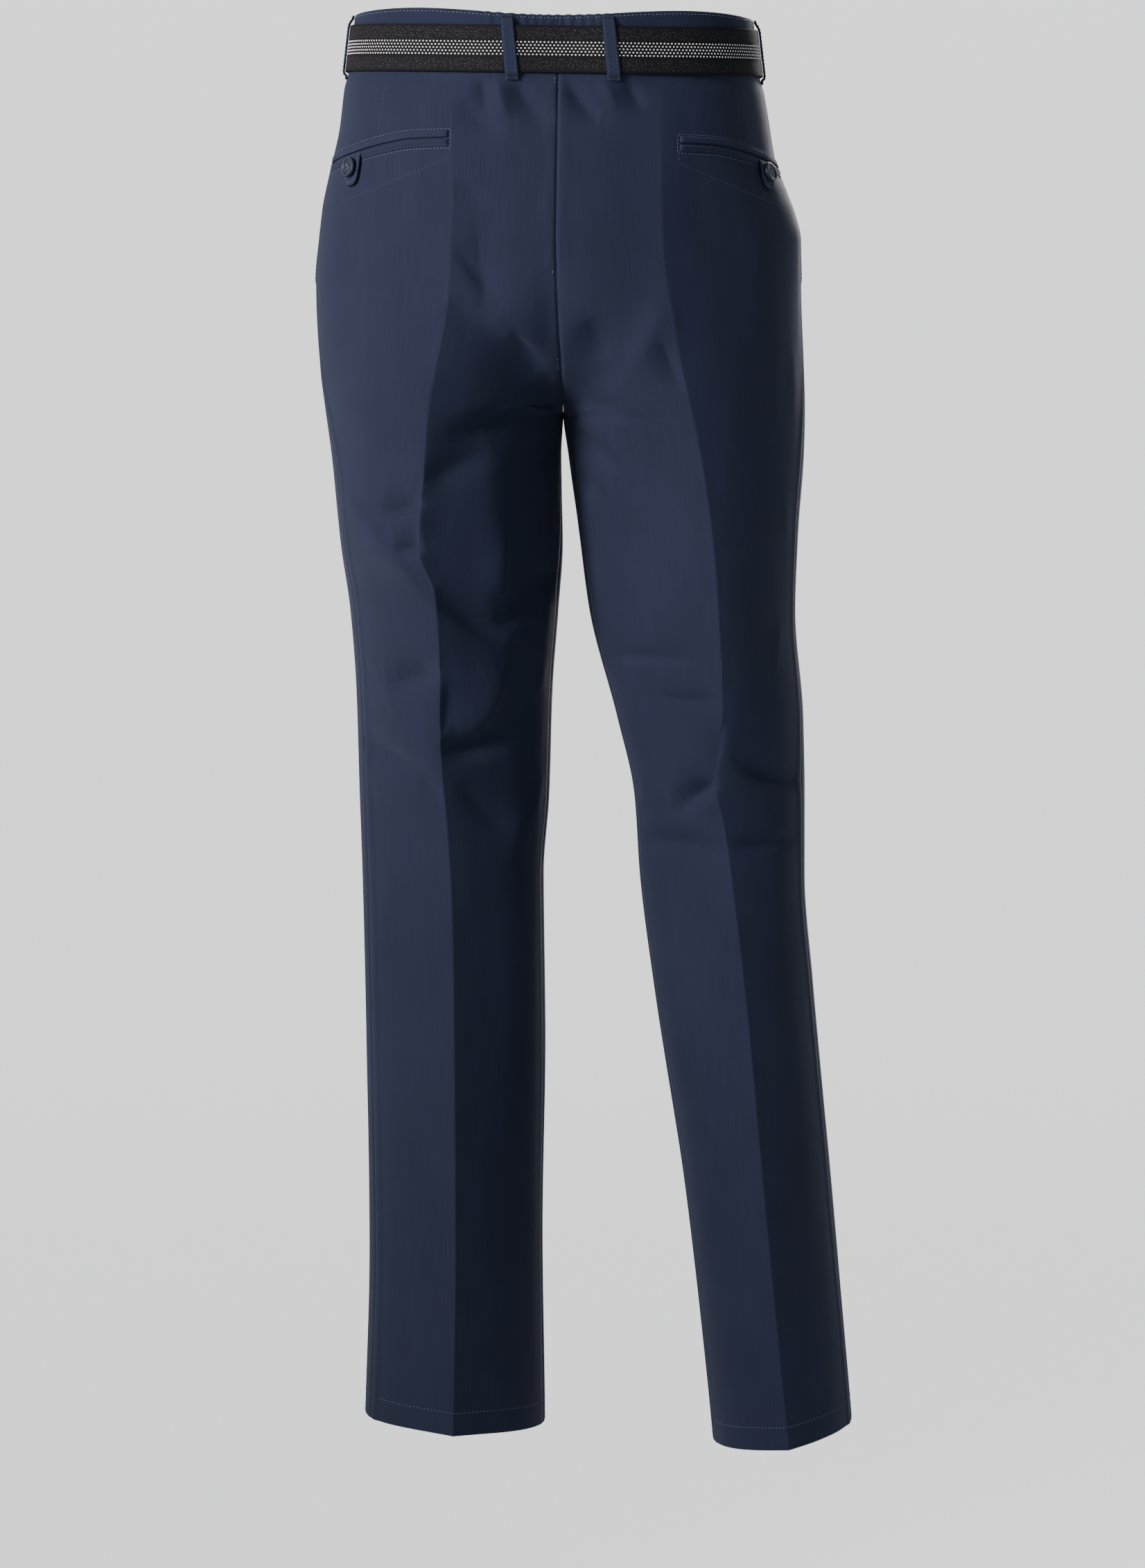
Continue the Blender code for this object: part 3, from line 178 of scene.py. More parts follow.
# Pressed crease: level, x, y, and in degrees the lean and the kink with which the cloth leaves it.
LEFT_BACK_CREASE = (
    (30, -77, -93.6, 21, 0), (-17, -79, -99.0, 21, 0), (-18, -79, -99.1, 21, 0),
    (-30, -78, -104, 16, 1), (-60, -76, -111.5, 14, 4), (-100, -76, -118, 15, 8),
    (-145, -78, -124, 15, 11), (-172, -79, -126, 13, 12), (-200, -82, -127, 9, 13),
    (-235, -89, -126, 3, 14), (-270, -95, -121, 0, 16), (-310, -98, -114, 0, 22),
    (-370, -102, -110, 0, 25), (-405, -90, -107, 0, 25), (-460, -87, -101, 0, 25),
    (-520, -86.5, -87, 0, 25), (-580, -82, -76, 0, 26), (-640, -78.5, -78, 0, 28),
    (-720, -77, -87, 0, 30), (-900, -76, -91, 0, 33), (-1042, -78, -90, 0, 33),
)

LEFT_FRONT_CREASE = (
    (30, -76, 92.6, 21, 0), (-17, -78, 98.0, 21, 0), (-18, -78, 98.1, 21, 0), (-60, -78, 105, 14, 0),
    (-120, -80, 112, 6, 2), (-200, -84, 115, 2, 6), (-270, -88, 114, 0, 10), (-350, -88, 117, 0, 12),
    (-450, -84, 113, 0, 14), (-540, -82, 101, 0, 15), (-640, -80, 88, 0, 20), (-760, -79, 81, 0, 30),
    (-1042, -78, 74, 0, 34),
)

RIGHT_BACK_CREASE = (
    (30, 78, -93.6, 21, 0), (-17, 80, -99.0, 21, 0), (-18, 80, -99.1, 21, 0), (-30, 79, -104, 16, 1),
    (-60, 78, -111.5, 14, 4), (-100, 78, -118, 16, 8), (-145, 79, -124, 17, 11),
    (-172, 82, -126, 16, 11), (-200, 87, -127, 12, 12), (-235, 93, -126, 8, 14),
    (-270, 101, -121, 7, 17), (-310, 109, -115, 7, 20), (-360, 116, -111, 6, 22),
    (-420, 121, -108, 5, 22), (-490, 124, -103, 3, 22), (-543, 118, -96, 0, 22),
    (-575, 125, -92, 0, 23), (-640, 134, -96, 0, 26), (-720, 143, -108, 0, 30),
    (-850, 155, -117, 0, 34), (-1050, 175, -122, 0, 34),
)

RIGHT_FRONT_CREASE = (
    (30, 77, 92.6, 21, 0), (-17, 79, 98.0, 21, 0), (-18, 79, 98.1, 21, 0), (-60, 81, 105, 14, 0),
    (-120, 84, 112, 6, 2), (-200, 89, 115, 2, 6), (-270, 97, 113, 0, 10), (-350, 104, 112, 0, 12),
    (-450, 112, 103, 0, 14), (-540, 118, 92, 0, 15), (-640, 128, 78, 0, 20), (-760, 141, 70, 0, 30),
    (-1050, 174, 62, 0, 34),
)

# Gathers under the belt, hollows of the seat, drags of both thighs and breaks of both knees.
BACK_FOLDS = tuple(Fold(*row) for row in (
    (-56, -14, -55, -30, -51, -50, 4.6, 5, 7), (-45, -18, -41, -34, -37, -50, -3.4, 6, 6),
    (-31, -20, -24, -42, -4, -56, 5.1, 6, 9), (-71, -38, -60, -54, -38, -64, 3.5, 7, 9),
    (6, -16, 16, -40, 33, -52, 5.1, 6, 8), (29, -14, 38, -30, 46, -44, -2.9, 6, 6),
    (50, -14, 56, -30, 64, -44, 3.5, 5, 7), (-60, -122, -55, -165, -50, -202, 3.8, 17, 8),
    (-76, -102, -64, -104, -50, -112, 1.6, 4, 7), (-73, -146, -62, -166, -42, -184, 3.4, 8, 5),
    (-80, -186, -48, -213, -11, -241, 6.2, 9, 17), (-4, -156, -3, -192, 0, -240, 4.3, 11, 14),
    (-33, -208, -24, -224, -7, -242, 4.2, 6, 9), (-80, -287, -40, -276, 1, -263, 8.5, 9, 11),
    (-97, -319, -76, -310, -48, -296, 5.6, 12, 11), (-4, -272, -12, -296, -15, -330, 4.3, 11, 16),
    (-52, -290, -50, -350, -42, -420, -4.6, 20, 27), (-41, -356, -42, -392, -41, -422, -3.4, 5, 12),
    (-43, -427, -18, -410, 4, -388, 9.5, 18, 8), (-92, -402, -66, -424, -38, -441, 6.4, 15, 6),
    (-160, -329, -125, -366, -92, -411, -3.2, 4, 12), (-131, -345, -115, -341, -99, -334, 8.0, 13, 4),
    (-120, -371, -109, -370, -98, -368, 7.0, 12, 4), (-127, -473, -108, -468, -87, -461, 8.4, 14, 6),
    (-147, -514, -129, -526, -99, -541, 4.6, 9, 8), (-103, -537, -96, -550, -88, -563, 2.3, 7, 8),
    (-146, -441, -128, -479, -111, -515, -0.6, 2.6, 2.6),
    (-120, -517, -115, -518, -110, -517, -0.8, 3, 3),
    (-146, -523, -141, -540, -134, -557, -0.6, 2.6, 2.6),
    (-39, -452, -46, -494, -72, -514, -7.0, 7, 20), (-80, -470, -83, -490, -84, -510, 3.2, 10, 4),
    (-88, -515, -66, -532, -26, -500, 9.0, 10, 8), (-74, -545, -56, -567, -39, -585, 2.6, 10, 8),
    (-19, -560, -29, -582, -37, -613, -2, 12, 10), (-8, -459, -12, -472, -15, -484, -0.9, 4, 4),
    (-6, -537, -16, -561, -19, -580, -0.9, 4, 4), (22, -200, 31, -214, 38, -229, 4.6, 8, 14),
    (81, -181, 71, -215, 52, -246, -3.6, 14, 12), (78, -216, 84, -233, 93, -254, 4.2, 4, 10),
    (9, -262, 32, -265, 53, -268, 5.0, 10, 7), (13, -280, 30, -297, 46, -314, 5.2, 6, 9),
    (16, -309, 22, -320, 31, -334, 3.6, 5, 7), (177, -220, 178, -246, 177, -272, -0.9, 4, 4),
    (171, -330, 172, -348, 172, -366, -0.9, 4, 4), (168, -421, 166, -440, 163, -468, -1, 4, 4),
    (38, -453, 70, -451, 99, -454, 4.2, 7, 4), (75, -482, 98, -486, 122, -484, 4.2, 7, 4),
    (88, -567, 104, -559, 120, -541, 10.5, 14, 5), (116, -547, 121, -524, 124, -498, 4.6, 12, 3),
    (65, -593, 97, -588, 129, -602, 5.4, 10, 7), (135, -526, 148, -546, 187, -549, 7.5, 9, 4),
    (130, -591, 154, -596, 182, -588, 3.8, 7, 5), (67, -544, 66, -552, 65, -561, -0.9, 4, 4),
    (199, -690, 203, -770, 207, -850, -0.8, 5, 5),
))

# The hidden face has drags and breaks of the same kinds.
FRONT_FOLDS = tuple(Fold(*row) for row in (
    (-12, -262, -44, -246, -92, -214, 3.4, 9, 12), (18, -264, 52, -250, 96, -220, 3.2, 12, 7),
    (-16, -286, -54, -280, -98, -262, -2.6, 10, 8), (24, -290, 60, -284, 104, -268, -2.6, 8, 12),
    (-20, -232, -40, -208, -62, -176, 1.8, 8, 10), (22, -228, 44, -206, 70, -180, 1.8, 10, 7),
    (-142, -350, -112, -372, -84, -402, 2.8, 6, 13), (44, -372, 74, -388, 108, -420, 2.8, 13, 6),
    (-144, -528, -112, -540, -66, -530, 3.4, 11, 6), (-60, -556, -34, -548, -14, -536, 2.8, 10, 6),
    (-128, -484, -104, -500, -84, -522, 2.2, 12, 6), (64, -548, 104, -560, 150, -546, 3.4, 11, 6),
    (134, -470, 128, -500, 120, -530, 2.2, 12, 5), (-138, -604, -108, -612, -60, -604, 2.6, 12, 7),
    (74, -616, 112, -624, 160, -612, 2.6, 12, 7), (-130, -960, -100, -972, -66, -966, 2.6, 12, 8),
    (128, -950, 158, -964, 190, -958, 2.6, 12, 8),
))

POCKET_LINE = ((0, 0), (30, -1.3), (55, -5), (95, -12.5), (146, -20))


class Thread(Enum):
    """Directions in which a piece was cut from the roll."""

    LENGTHWISE = 0
    CROSSWISE = 1


# ---------------------------------------------------------------- small maths
def smooth_step(low: float, high: float, value: Array | float) -> Array:
    """0 at low, 1 at high, with flat ends; low may be the larger one."""
    share = np.clip((value - low) / (high - low), 0.0, 1.0)
    return share * share * (3.0 - 2.0 * share)


def unit(vectors: Array) -> Array:
    """Vectors scaled to length 1."""
    return vectors / np.maximum(np.linalg.norm(vectors, axis=-1, keepdims=True), 1e-9)


def bell(distance: Array, width: float) -> Array:
    """1 at distance 0, falling off smoothly within about twice the width."""
    return np.exp(-(distance / width) ** 2)


def run_length(points: Array) -> Array:
    """Length along a row of points, from its first one."""
    steps = np.linalg.norm(np.diff(points, axis=-2), axis=-1)
    return np.concatenate([np.zeros_like(steps[..., :1]), np.cumsum(steps, axis=-1)], axis=-1)


def read_along(values: Array, lengths: Array, places: Array) -> Array:
    """Rows of three values, read at lengths between those at which the rows stand."""
    return np.stack([np.interp(places, lengths, values[:, axis]) for axis in range(3)], -1)


class Table:
    """Rows of numbers by level, read on a smooth curve that never overshoots its rows."""

    def __init__(self, rows: Sequence[Sequence[float]]) -> None:
        """Sort the rows and work out the curve's slope at each one.

        Args:
            rows: Rows whose first number is the level.
        """
        data = np.array(sorted(tuple(row) for row in rows), dtype=float)
        self.levels = data[:, 0]
        self.values = data[:, 1:]
        slopes = np.diff(self.values, axis=0) / np.diff(self.levels)[:, None]
        before, after = slopes[:-1], slopes[1:]
        total = before + after
        same_way = before * after > 0.0
        gentle = np.where(same_way, 2.0 * before * after / np.where(same_way, total, 1.0), 0.0)
        self.slopes = np.vstack([slopes[:1], gentle, slopes[-1:]])

    def at(self, place: Array | float) -> Array:
        """Read the table.

        Args:
            place: Levels, of any shape.

        Returns:
            The row's values at each level, in a last axis.
        """
        place = np.clip(np.asarray(place, dtype=float), self.levels[0], self.levels[-1])
        low = np.clip(np.searchsorted(self.levels, place, side="right") - 1, 0, len(self.levels) - 2)
        span = (self.levels[low + 1] - self.levels[low])[..., None]
        share = (place - self.levels[low])[..., None] / span
        rise = self.values[low + 1] - self.values[low]
        bend_low = self.slopes[low] * span - rise
        bend_high = rise - self.slopes[low + 1] * span
        mix = (1.0 - share) * bend_low + share * bend_high
        return self.values[low] + share * rise + share * (1.0 - share) * mix


SEAT = Table(CENTRE_SEAM)
POCKET_DROP = Table(POCKET_LINE)


# ---------------------------------------------------------------- the worn form
def seat_seam(z: Array, face: int) -> tuple[Array, Array, Array]:
    """Find the seat seam, which follows a U from the back to the front.

    Args:
        z: Levels above the crotch.
        face: -1 for the back, 1 for the front.

    Returns:
        x, y and how far the U has turned up, in degrees.
    """
    row = SEAT.at(z)
    profile = row[..., 1] if face < 0 else row[..., 2]
    height = np.clip((z - CROTCH_Z) / CROTCH_RISE[face], 0.0, 1.0)
    turned = np.arccos(1.0 - height)
    return row[..., 0], CROTCH_Y + (profile - CROTCH_Y) * np.sin(turned), np.degrees(turned)


def waist_rise(x: Array, y: Array) -> Array:
    """How far the waist stands above its level at a place round it."""
    return WAIST_TILT_X * x + WAIST_SIDE_RISE * (1.0 - np.minimum((y / WAIST_DEPTH) ** 2, 1.0))


def fold_depth(folds: Sequence[Fold], x: Array, z: Array) -> Array:
    """How far folds pull the cloth in.

    Args:
        folds: Troughs and ridges of one face.
        x: Places across.
        z: Levels.

    Returns:
        Depth at each place, in millimetres.
    """
    total = np.zeros_like(x)
    shares = np.linspace(0.0, 1.0, FOLD_SAMPLES + 1)
    for fold in folds:
        reach = FOLD_REACH * max(fold.left, fold.right)
        xs, zs = (fold.x_a, fold.x_b, fold.x_c), (fold.z_a, fold.z_b, fold.z_c)
        near = (x > min(xs) - reach) & (x < max(xs) + reach)
        near &= (z > min(zs) - reach) & (z < max(zs) + reach)
        if not near.any():
            continue
        rest = 1.0 - shares
        line_x = rest * rest * fold.x_a + 2.0 * rest * shares * fold.x_b + shares * shares * fold.x_c
        line_z = rest * rest * fold.z_a + 2.0 * rest * shares * fold.z_b + shares * shares * fold.z_c
        distance = np.hypot(x[near][:, None] - line_x, z[near][:, None] - line_z)
        at = distance.argmin(axis=1)
        nearest = distance[np.arange(len(at)), at]
        ahead = unit(np.stack([np.gradient(line_x), np.gradient(line_z)], -1))[at]
        beside = ahead[:, 0] * (z[near] - line_z[at]) - ahead[:, 1] * (x[near] - line_x[at])
        sine = beside / np.maximum(nearest, 1e-6)
        width = 0.5 * (fold.left + fold.right) + 0.5 * (fold.left - fold.right) * sine
        taper = np.sin(math.pi * (FOLD_TIP + (1.0 - 2.0 * FOLD_TIP) * shares[at]))
        total[near] += fold.depth * taper * np.exp(-(nearest / width) ** FOLD_CRISPNESS)
    return total


def drift(x: Array, z: Array) -> Array:
    """Slight unevenness of hanging cloth: long soft streaks down it, about half a millimetre deep.

    Args:
        x: Places across.
        z: Levels.

    Returns:
        Depth at each place, in millimetres.
    """
    streaks = np.sin(x / 6.1 + 1.7 * np.sin(z / 83.0)) * np.sin(z / 61.0 + x / 37.0)
    waves = np.sin(x / 13.7 + z / 171.0 + 2.1 * np.sin(z / 129.0 + 1.3))
    return STREAK_DEPTH * streaks + WAVE_DEPTH * waves


@dataclass(frozen=True)
class HalfForm:
    """One half of the trousers as a stack of level sections."""

    side: int
    name: str
    outline: Table
    back_crease: Table
    front_crease: Table
    seam_turn: float
    hem_z: float
    hem_tilt_x: float
    hem_tilt_y: float
    pocket_across: float
    pocket_z: float
    dart_x: tuple[float, float]

    def quarter(self, z: Array, quarter: int) -> Array:
        """Control points of one quarter of a section, side to crease or crease to inner.

        Args:
            z: Levels.
            quarter: 0 to 3, from the side over the back.

        Returns:
            Four (x, y) points for each level.
        """
        x_side, y_side, x_inner, y_inner = np.moveaxis(self.outline.at(z), -1, 0)
        face = -1 if quarter in (0, 1) else 1
        crease = (self.back_crease if face < 0 else self.front_crease).at(z)
        crease_x, crease_y, lean, kink = np.moveaxis(crease, -1, 0)
        if quarter in (0, 3):
            across = np.abs(x_side - crease_x) * HANDLE
            drop = np.tan(np.radians(lean + kink))
            points = ((x_side, y_side),
                      (x_side, y_side + HANDLE * (crease_y - y_side)),
                      (crease_x + self.side * across, crease_y - face * across * drop),
                      (crease_x, crease_y))
        else:
            seat_x, seat_y, turned = seat_seam(z, face)
            closed = z <= CROTCH_Z
            x_inner = np.where(closed, x_inner, seat_x + self.side * SEAM_GAP / 2.0)
            y_inner = np.where(closed, y_inner, seat_y)
            valley = np.radians(90.0 * (1.0 - smooth_step(0.0, CROTCH_VALLEY_TURN, turned)))
            valley = np.where(closed, math.pi / 2.0, valley)
            across = np.abs(x_inner - crease_x) * HANDLE
            drop = np.tan(np.radians(lean - kink))
            reach = HANDLE * np.abs(crease_y - y_inner)
            points = ((crease_x, crease_y),
                      (crease_x - self.side * across, crease_y + face * across * drop),
                      (x_inner + self.side * across * np.cos(valley),
                       y_inner + face * reach * np.sin(valley)),
                      (x_inner, y_inner))
        return np.stack([np.stack(point, -1) for point in points], -2)

    def tilted(self, x: Array, y: Array, z: Array) -> Array:
        """Tilt the sections, as the waist and the hem aren't quite level.

        Args:
            x: Places across.
            y: Places towards the front.
            z: Levels of the sections.

        Returns:
            Heights of the points.
        """
        waist = smooth_step(WAIST_TILT_END_Z, BELOW_BELT_Z, z)
        hem = smooth_step(HEM_TILT_START_Z, self.hem_z, z)
        x_side, y_side, x_inner, _ = self.outline.at(self.hem_z)
        tilt = self.hem_tilt_x * (x - (x_side + x_inner) / 2.0) + self.hem_tilt_y * (y - y_side)
        return z + waist * waist_rise(x, y) + hem * tilt

    def bare(self, turn: Array, z: Array, face: int) -> Array:
        """Points of the smooth outside, before folds.

        Args:
            turn: Places on the sections.
            z: Levels, of the same shape.
            face: -1 for the back, 1 for the front.

        Returns:
            Points in a last axis of three.
        """
        turn = np.where(turn >= 4.0, turn - 4.0, np.where(turn < 0.0, turn + 4.0, turn))
        quarters = np.minimum(np.floor(turn), 3).astype(int)
        if face < 0:
            quarters = np.where(turn == 2.0, 1, quarters)
        flat = np.zeros(turn.shape + (2,))
        for quarter in range(4):
            here = quarters == quarter
            if not here.any():
                continue
            share = (turn[here] - quarter)[:, None]
            if quarter >= 2:
                share = 1.0 - share
            rest = 1.0 - share
            a, b, c, d = np.moveaxis(self.quarter(z[here], quarter), -2, 0)
            flat[here] = (rest ** 3 * a + 3.0 * rest * rest * share * b
                          + 3.0 * rest * share * share * c + share ** 3 * d)
        x, y = flat[..., 0], flat[..., 1]
        return np.stack([x, y, self.tilted(x, y, z)], -1)

    def outward(self, turn: Array, z: Array, face: int) -> Array:
        """Find the outward direction at places on the smooth form.

        Args:
            turn: Places on the sections.
            z: Levels, of the same shape.
            face: -1 for the back, 1 for the front.

        Returns:
            Unit vectors in a last axis of three.
        """
        low, high = turn - NORMAL_TURN, turn + NORMAL_TURN
        above = z > CROTCH_Z
        if face < 0:
            high = np.where(above & (high < 3.0), np.minimum(high, 2.0), high)
        else:
            low = np.where(above, np.maximum(low, 2.0), low)
        along = self.bare(high, z, face) - self.bare(low, z, face)
        up = self.bare(turn, z + NORMAL_RISE, face) - self.bare(turn, z - NORMAL_RISE, face)
        return unit(np.cross(along, up) * -self.side)

    def cloth(self, turn: Array, z: Array, face: int) -> tuple[Array, Array]:
        """Find the outside with its folds. Beside the seat seam, nothing moves across it.

        Args:
            turn: Places on the sections.
            z: Levels.
            face: -1 for the back, 1 for the front.

        Returns:
            Points, and the outward directions there.
        """
        turn, z = np.broadcast_arrays(np.asarray(turn, float), np.asarray(z, float))
        points, normals = self.bare(turn, z, face), self.outward(turn, z, face)
        near = 1.0 - smooth_step(0.0, SEAT_SEAM_REACH, np.abs(turn - 2.0))
        beside = 1.0 - near * smooth_step(CROTCH_Z - SEAT_SEAM_FADE, CROTCH_Z, z)
        push = normals * np.stack([beside, np.ones_like(beside), np.ones_like(beside)], -1)
        under_belt = smooth_step(*FOLD_LEVELS, z)
        for side_face, folds in ((-1, BACK_FOLDS), (1, FRONT_FOLDS)):
            facing = smooth_step(*FOLD_FACING, side_face * normals[..., 1])
            depth = facing * under_belt * fold_depth(folds, points[..., 0], z)
            points = points - push * depth[..., None]
        points = points - push * (under_belt * drift(points[..., 0] + points[..., 1], z))[..., None]
        return points, normals

    def inner_turn(self, z: Array) -> Array:
        """Where the back panel ends: the seat seam, or below it the inner leg seam."""
        return 2.0 - (2.0 - INSEAM_TURN) * smooth_step(CROTCH_Z, CROTCH_Z - INSEAM_TURN_RUN, z)

    def side_turn(self, z: Array) -> Array:
        """Where the side seam runs: at the side of the hip, further back down the leg."""
        return self.seam_turn * smooth_step(*SIDE_TURN_LEVELS, z)

    def turn_across(self, z: Array, face: int, across: Array) -> Array:
        """Turn at a length from the centre seam, along each level's section.

        Args:
            z: Levels, in one row.
            face: -1 for the back, 1 for the front.
            across: Length from the centre seam at each level.

        Returns:
            Turn at each level.
        """
        ends = np.zeros_like(z) if face < 0 else 4.0 + self.side_turn(z)
        shares = np.linspace(0.0, 1.0, SECTION_SAMPLES + 1)
        turns = 2.0 + (ends[:, None] - 2.0) * shares
        lengths = run_length(self.bare(turns, np.broadcast_to(z[:, None], turns.shape), face))
        return np.array([np.interp(a, l, t) for a, l, t in zip(across, lengths, turns)])

    def turn_at_x(self, z: Array, x: Array) -> Array:
        """Find the places on the back that have these x.

        Args:
            z: Levels, in one row.
            x: Place across at each level.

        Returns:
            Turn at each level.
        """
        shares = np.linspace(0.02, 1.98, SECTION_SAMPLES + 1)
        turns = np.broadcast_to(shares, z.shape + shares.shape)
        xs = self.bare(turns, np.broadcast_to(z[:, None], turns.shape), -1)[..., 0] * -self.side
        return np.array([np.interp(-self.side * a, row, shares) for a, row in zip(x, xs)])


LEFT = HalfForm(-1, "left", Table(LEFT_OUTLINE), Table(LEFT_BACK_CREASE), Table(LEFT_FRONT_CREASE),
                seam_turn=0.27, hem_z=-1035.5, hem_tilt_x=-0.05, hem_tilt_y=0.04,
                pocket_across=81.0, pocket_z=-66.5, dart_x=(-126.0, -130.5))
RIGHT = HalfForm(1, "right", Table(RIGHT_OUTLINE), Table(RIGHT_BACK_CREASE), Table(RIGHT_FRONT_CREASE),
                 seam_turn=0.20, hem_z=-1040.5, hem_tilt_x=0.16, hem_tilt_y=0.04,
                 pocket_across=92.0, pocket_z=-69.0, dart_x=(133.5, 136.0))
HALVES = (LEFT, RIGHT)


class WaistRing:
    """Outside of the waist, measured from the centre front round by the wearer's left."""

    def __init__(self) -> None:
        """Join the four quarters of the two halves at the level of the belt."""
        path = []
        for half, face, start, end in ((LEFT, 1, 2.0, 4.0), (LEFT, -1, 0.0, 2.0),
                                       (RIGHT, -1, 2.0, 0.0), (RIGHT, 1, 4.0, 2.0)):
            turns = np.linspace(start, end, RING_STEPS, endpoint=False)
            if start == 4.0:
                turns[0] = LAST_TURN
            path.append(half.bare(turns, np.zeros_like(turns), face)[:, :2])
        path.append(path[0][:1])
        self.places = np.vstack(path)
        self.lengths = run_length(self.places)
        self.girth = float(self.lengths[-1])
        self.side_left = float(self.lengths[RING_STEPS])
        self.centre_back = float(self.lengths[2 * RING_STEPS])
        self.side_right = float(self.lengths[3 * RING_STEPS])

    def on_ring(self, along: Array) -> Array:
        """(x, y) at lengths round the waist."""
        along = np.mod(along, self.girth)
        return np.stack([np.interp(along, self.lengths, self.places[:, axis]) for axis in (0, 1)], -1)

    def outward(self, along: Array) -> Array:
        """Level outward directions at lengths round the waist."""
        forward = unit(self.on_ring(along + RING_REACH) - self.on_ring(along - RING_REACH))
        return np.stack([forward[..., 1], -forward[..., 0], np.zeros_like(forward[..., 0])], -1)

    def point(self, along: Array, out: Array, z: Array) -> Array:
        """Find points by the waist.

        Args:
            along: Lengths round it.
            out: Distances outside it.
            z: Heights above its level.

        Returns:
            Points in a last axis of three.
        """
        along, out, z = np.broadcast_arrays(*(np.asarray(value, float) for value in (along, out, z)))
        away = self.outward(along)
        flat = self.on_ring(along) + away[..., :2] * (out - WAIST_FLARE * z)[..., None]
        return np.stack([flat[..., 0], flat[..., 1], z + waist_rise(flat[..., 0], flat[..., 1])], -1)

    def along_at_x(self, x: float, face: int) -> float:
        """Find a place on the waist by its x.

        Args:
            x: Its place across.
            face: -1 for the back, 1 for the front.

        Returns:
            Its length round the waist.
        """
        facing = self.places[:, 1] * face > 0.0
        distance = np.where(facing, np.abs(self.places[:, 0] - x), np.inf)
        return float(self.lengths[distance.argmin()])


RING = WaistRing()


# ---------------------------------------------------------------- shader maths
def arithmetic(operation: str, swapped: bool = False) -> Callable[["Socket", Any], "Socket"]:
    """Make an arithmetic method that adds a Math node.

    Args:
        operation: The node's operation.
        swapped: Whether the other value comes first.

    Returns:
        The method.
    """
    def method(self: "Socket", other: Any) -> "Socket":
        """Work out a value from two others."""
        return self.maths(operation, *((other, self) if swapped else (self, other)))

    return method


class Socket:
    """Output of a shader node that takes part in ordinary arithmetic."""

    __add__ = __radd__ = arithmetic("ADD")
    __mul__ = __rmul__ = arithmetic("MULTIPLY")
    __sub__ = arithmetic("SUBTRACT")
    __rsub__ = arithmetic("SUBTRACT", swapped=True)
    __truediv__ = arithmetic("DIVIDE")

    def __init__(self, work: "NodeWork", socket: bpy.types.NodeSocket) -> None:
        """Keep the socket and the tree that it belongs to."""
        self.work = work
        self.socket = socket

    def maths(self, operation: str, *values: Any) -> "Socket":
        """Add a Math node with these values."""
        return self.work.add("ShaderNodeMath", {"operation": operation}, dict(enumerate(values)))

    def sine(self) -> "Socket":
        """Sine."""
        return self.maths("SINE", self)

    def between(self, low: float, high: float) -> "Socket":
        """0 at low, 1 at high, with soft ends."""
        return self.work.add("ShaderNodeMapRange", {"interpolation_type": "SMOOTHSTEP"},
                             {"Value": self, "From Min": low, "From Max": high})


class NodeWork:
    """A material and the nodes that are added to it."""

    def __init__(self, name: str) -> None:
        """Make a material with its Principled shader.

        Args:
            name: The material's name.
        """
        self.material = bpy.data.materials.new(name)
        self.material.use_nodes = True
        self.tree = self.material.node_tree
        self.shader = self.tree.nodes["Principled BSDF"]

    def add(self, kind: str, settings: dict[str, Any] | None = None,
            inputs: dict[Any, Any] | None = None, output: int | str = 0) -> Socket:
        """Add a node.

        Args:
            kind: The node's type.
            settings: Its properties.
            inputs: Values or sockets for its inputs, by name or number.
            output: The output to go on from.

        Returns:
            That output.
        """
        node = self.tree.nodes.new(kind)
        for key, value in (settings or {}).items():
            setattr(node, key, value)
        for key, value in (inputs or {}).items():
            self.feed(node.inputs[key], value)
        return Socket(self, node.outputs[output])

    def feed(self, socket: bpy.types.NodeSocket, value: Any) -> None:
        """Link a socket or set its value.

        Args:
            socket: The socket.
            value: Another node's socket, a number or a colour.
        """
        if isinstance(value, Socket):
            self.tree.links.new(value.socket, socket)
        elif isinstance(value, tuple) and socket.type == "RGBA":
            socket.default_value = (*value, 1.0)
        else:
            socket.default_value = value

    def finish(self, **values: Any) -> Material:
        """Feed the shader.

        Args:
            **values: Values or sockets by the names of its inputs, with _ for a space.

        Returns:
            The material.
        """
        for key, value in values.items():
            self.feed(self.shader.inputs[key.replace("_", " ").title().replace("Ior", "IOR")], value)
        return self.material

    def own_place(self) -> Socket:
        """Places on the object, in metres."""
        return self.add("ShaderNodeTexCoord", output="Object")

    def mix(self, factor: Any, first: Any, second: Any) -> Socket:
        """Blend two colours."""
        return self.add("ShaderNodeMix", {"data_type": "RGBA"}, {0: factor, 6: first, 7: second}, 2)

    def shaded(self, factor: Any, colour: Colour, share: float) -> Socket:
        """Blend a share of a colour with the colour itself."""
        return self.mix(factor, tuple(share * part for part in colour), colour)

    def noise(self, source: Socket, scale: Triple, detail: float) -> Socket:
        """Noise between 0 and 1 with its own scale on each axis, in repeats a metre."""
        place = self.add("ShaderNodeMapping", {}, {"Vector": source, "Scale": scale})
        return self.add("ShaderNodeTexNoise", {}, {"Vector": place, "Scale": 1.0, "Detail": detail})

    def bump(self, height: Any, distance: float) -> Socket:
        """Normals from a height between 0 and 1."""
        return self.add("ShaderNodeBump", {}, {"Height": height, "Distance": distance, "Strength": 1.0})

    def axes(self, source: Socket) -> tuple[Socket, Socket]:
        """First two coordinates of a vector."""
        split = self.add("ShaderNodeSeparateXYZ", {}, {0: source})
        return split, Socket(self, split.socket.node.outputs[1])


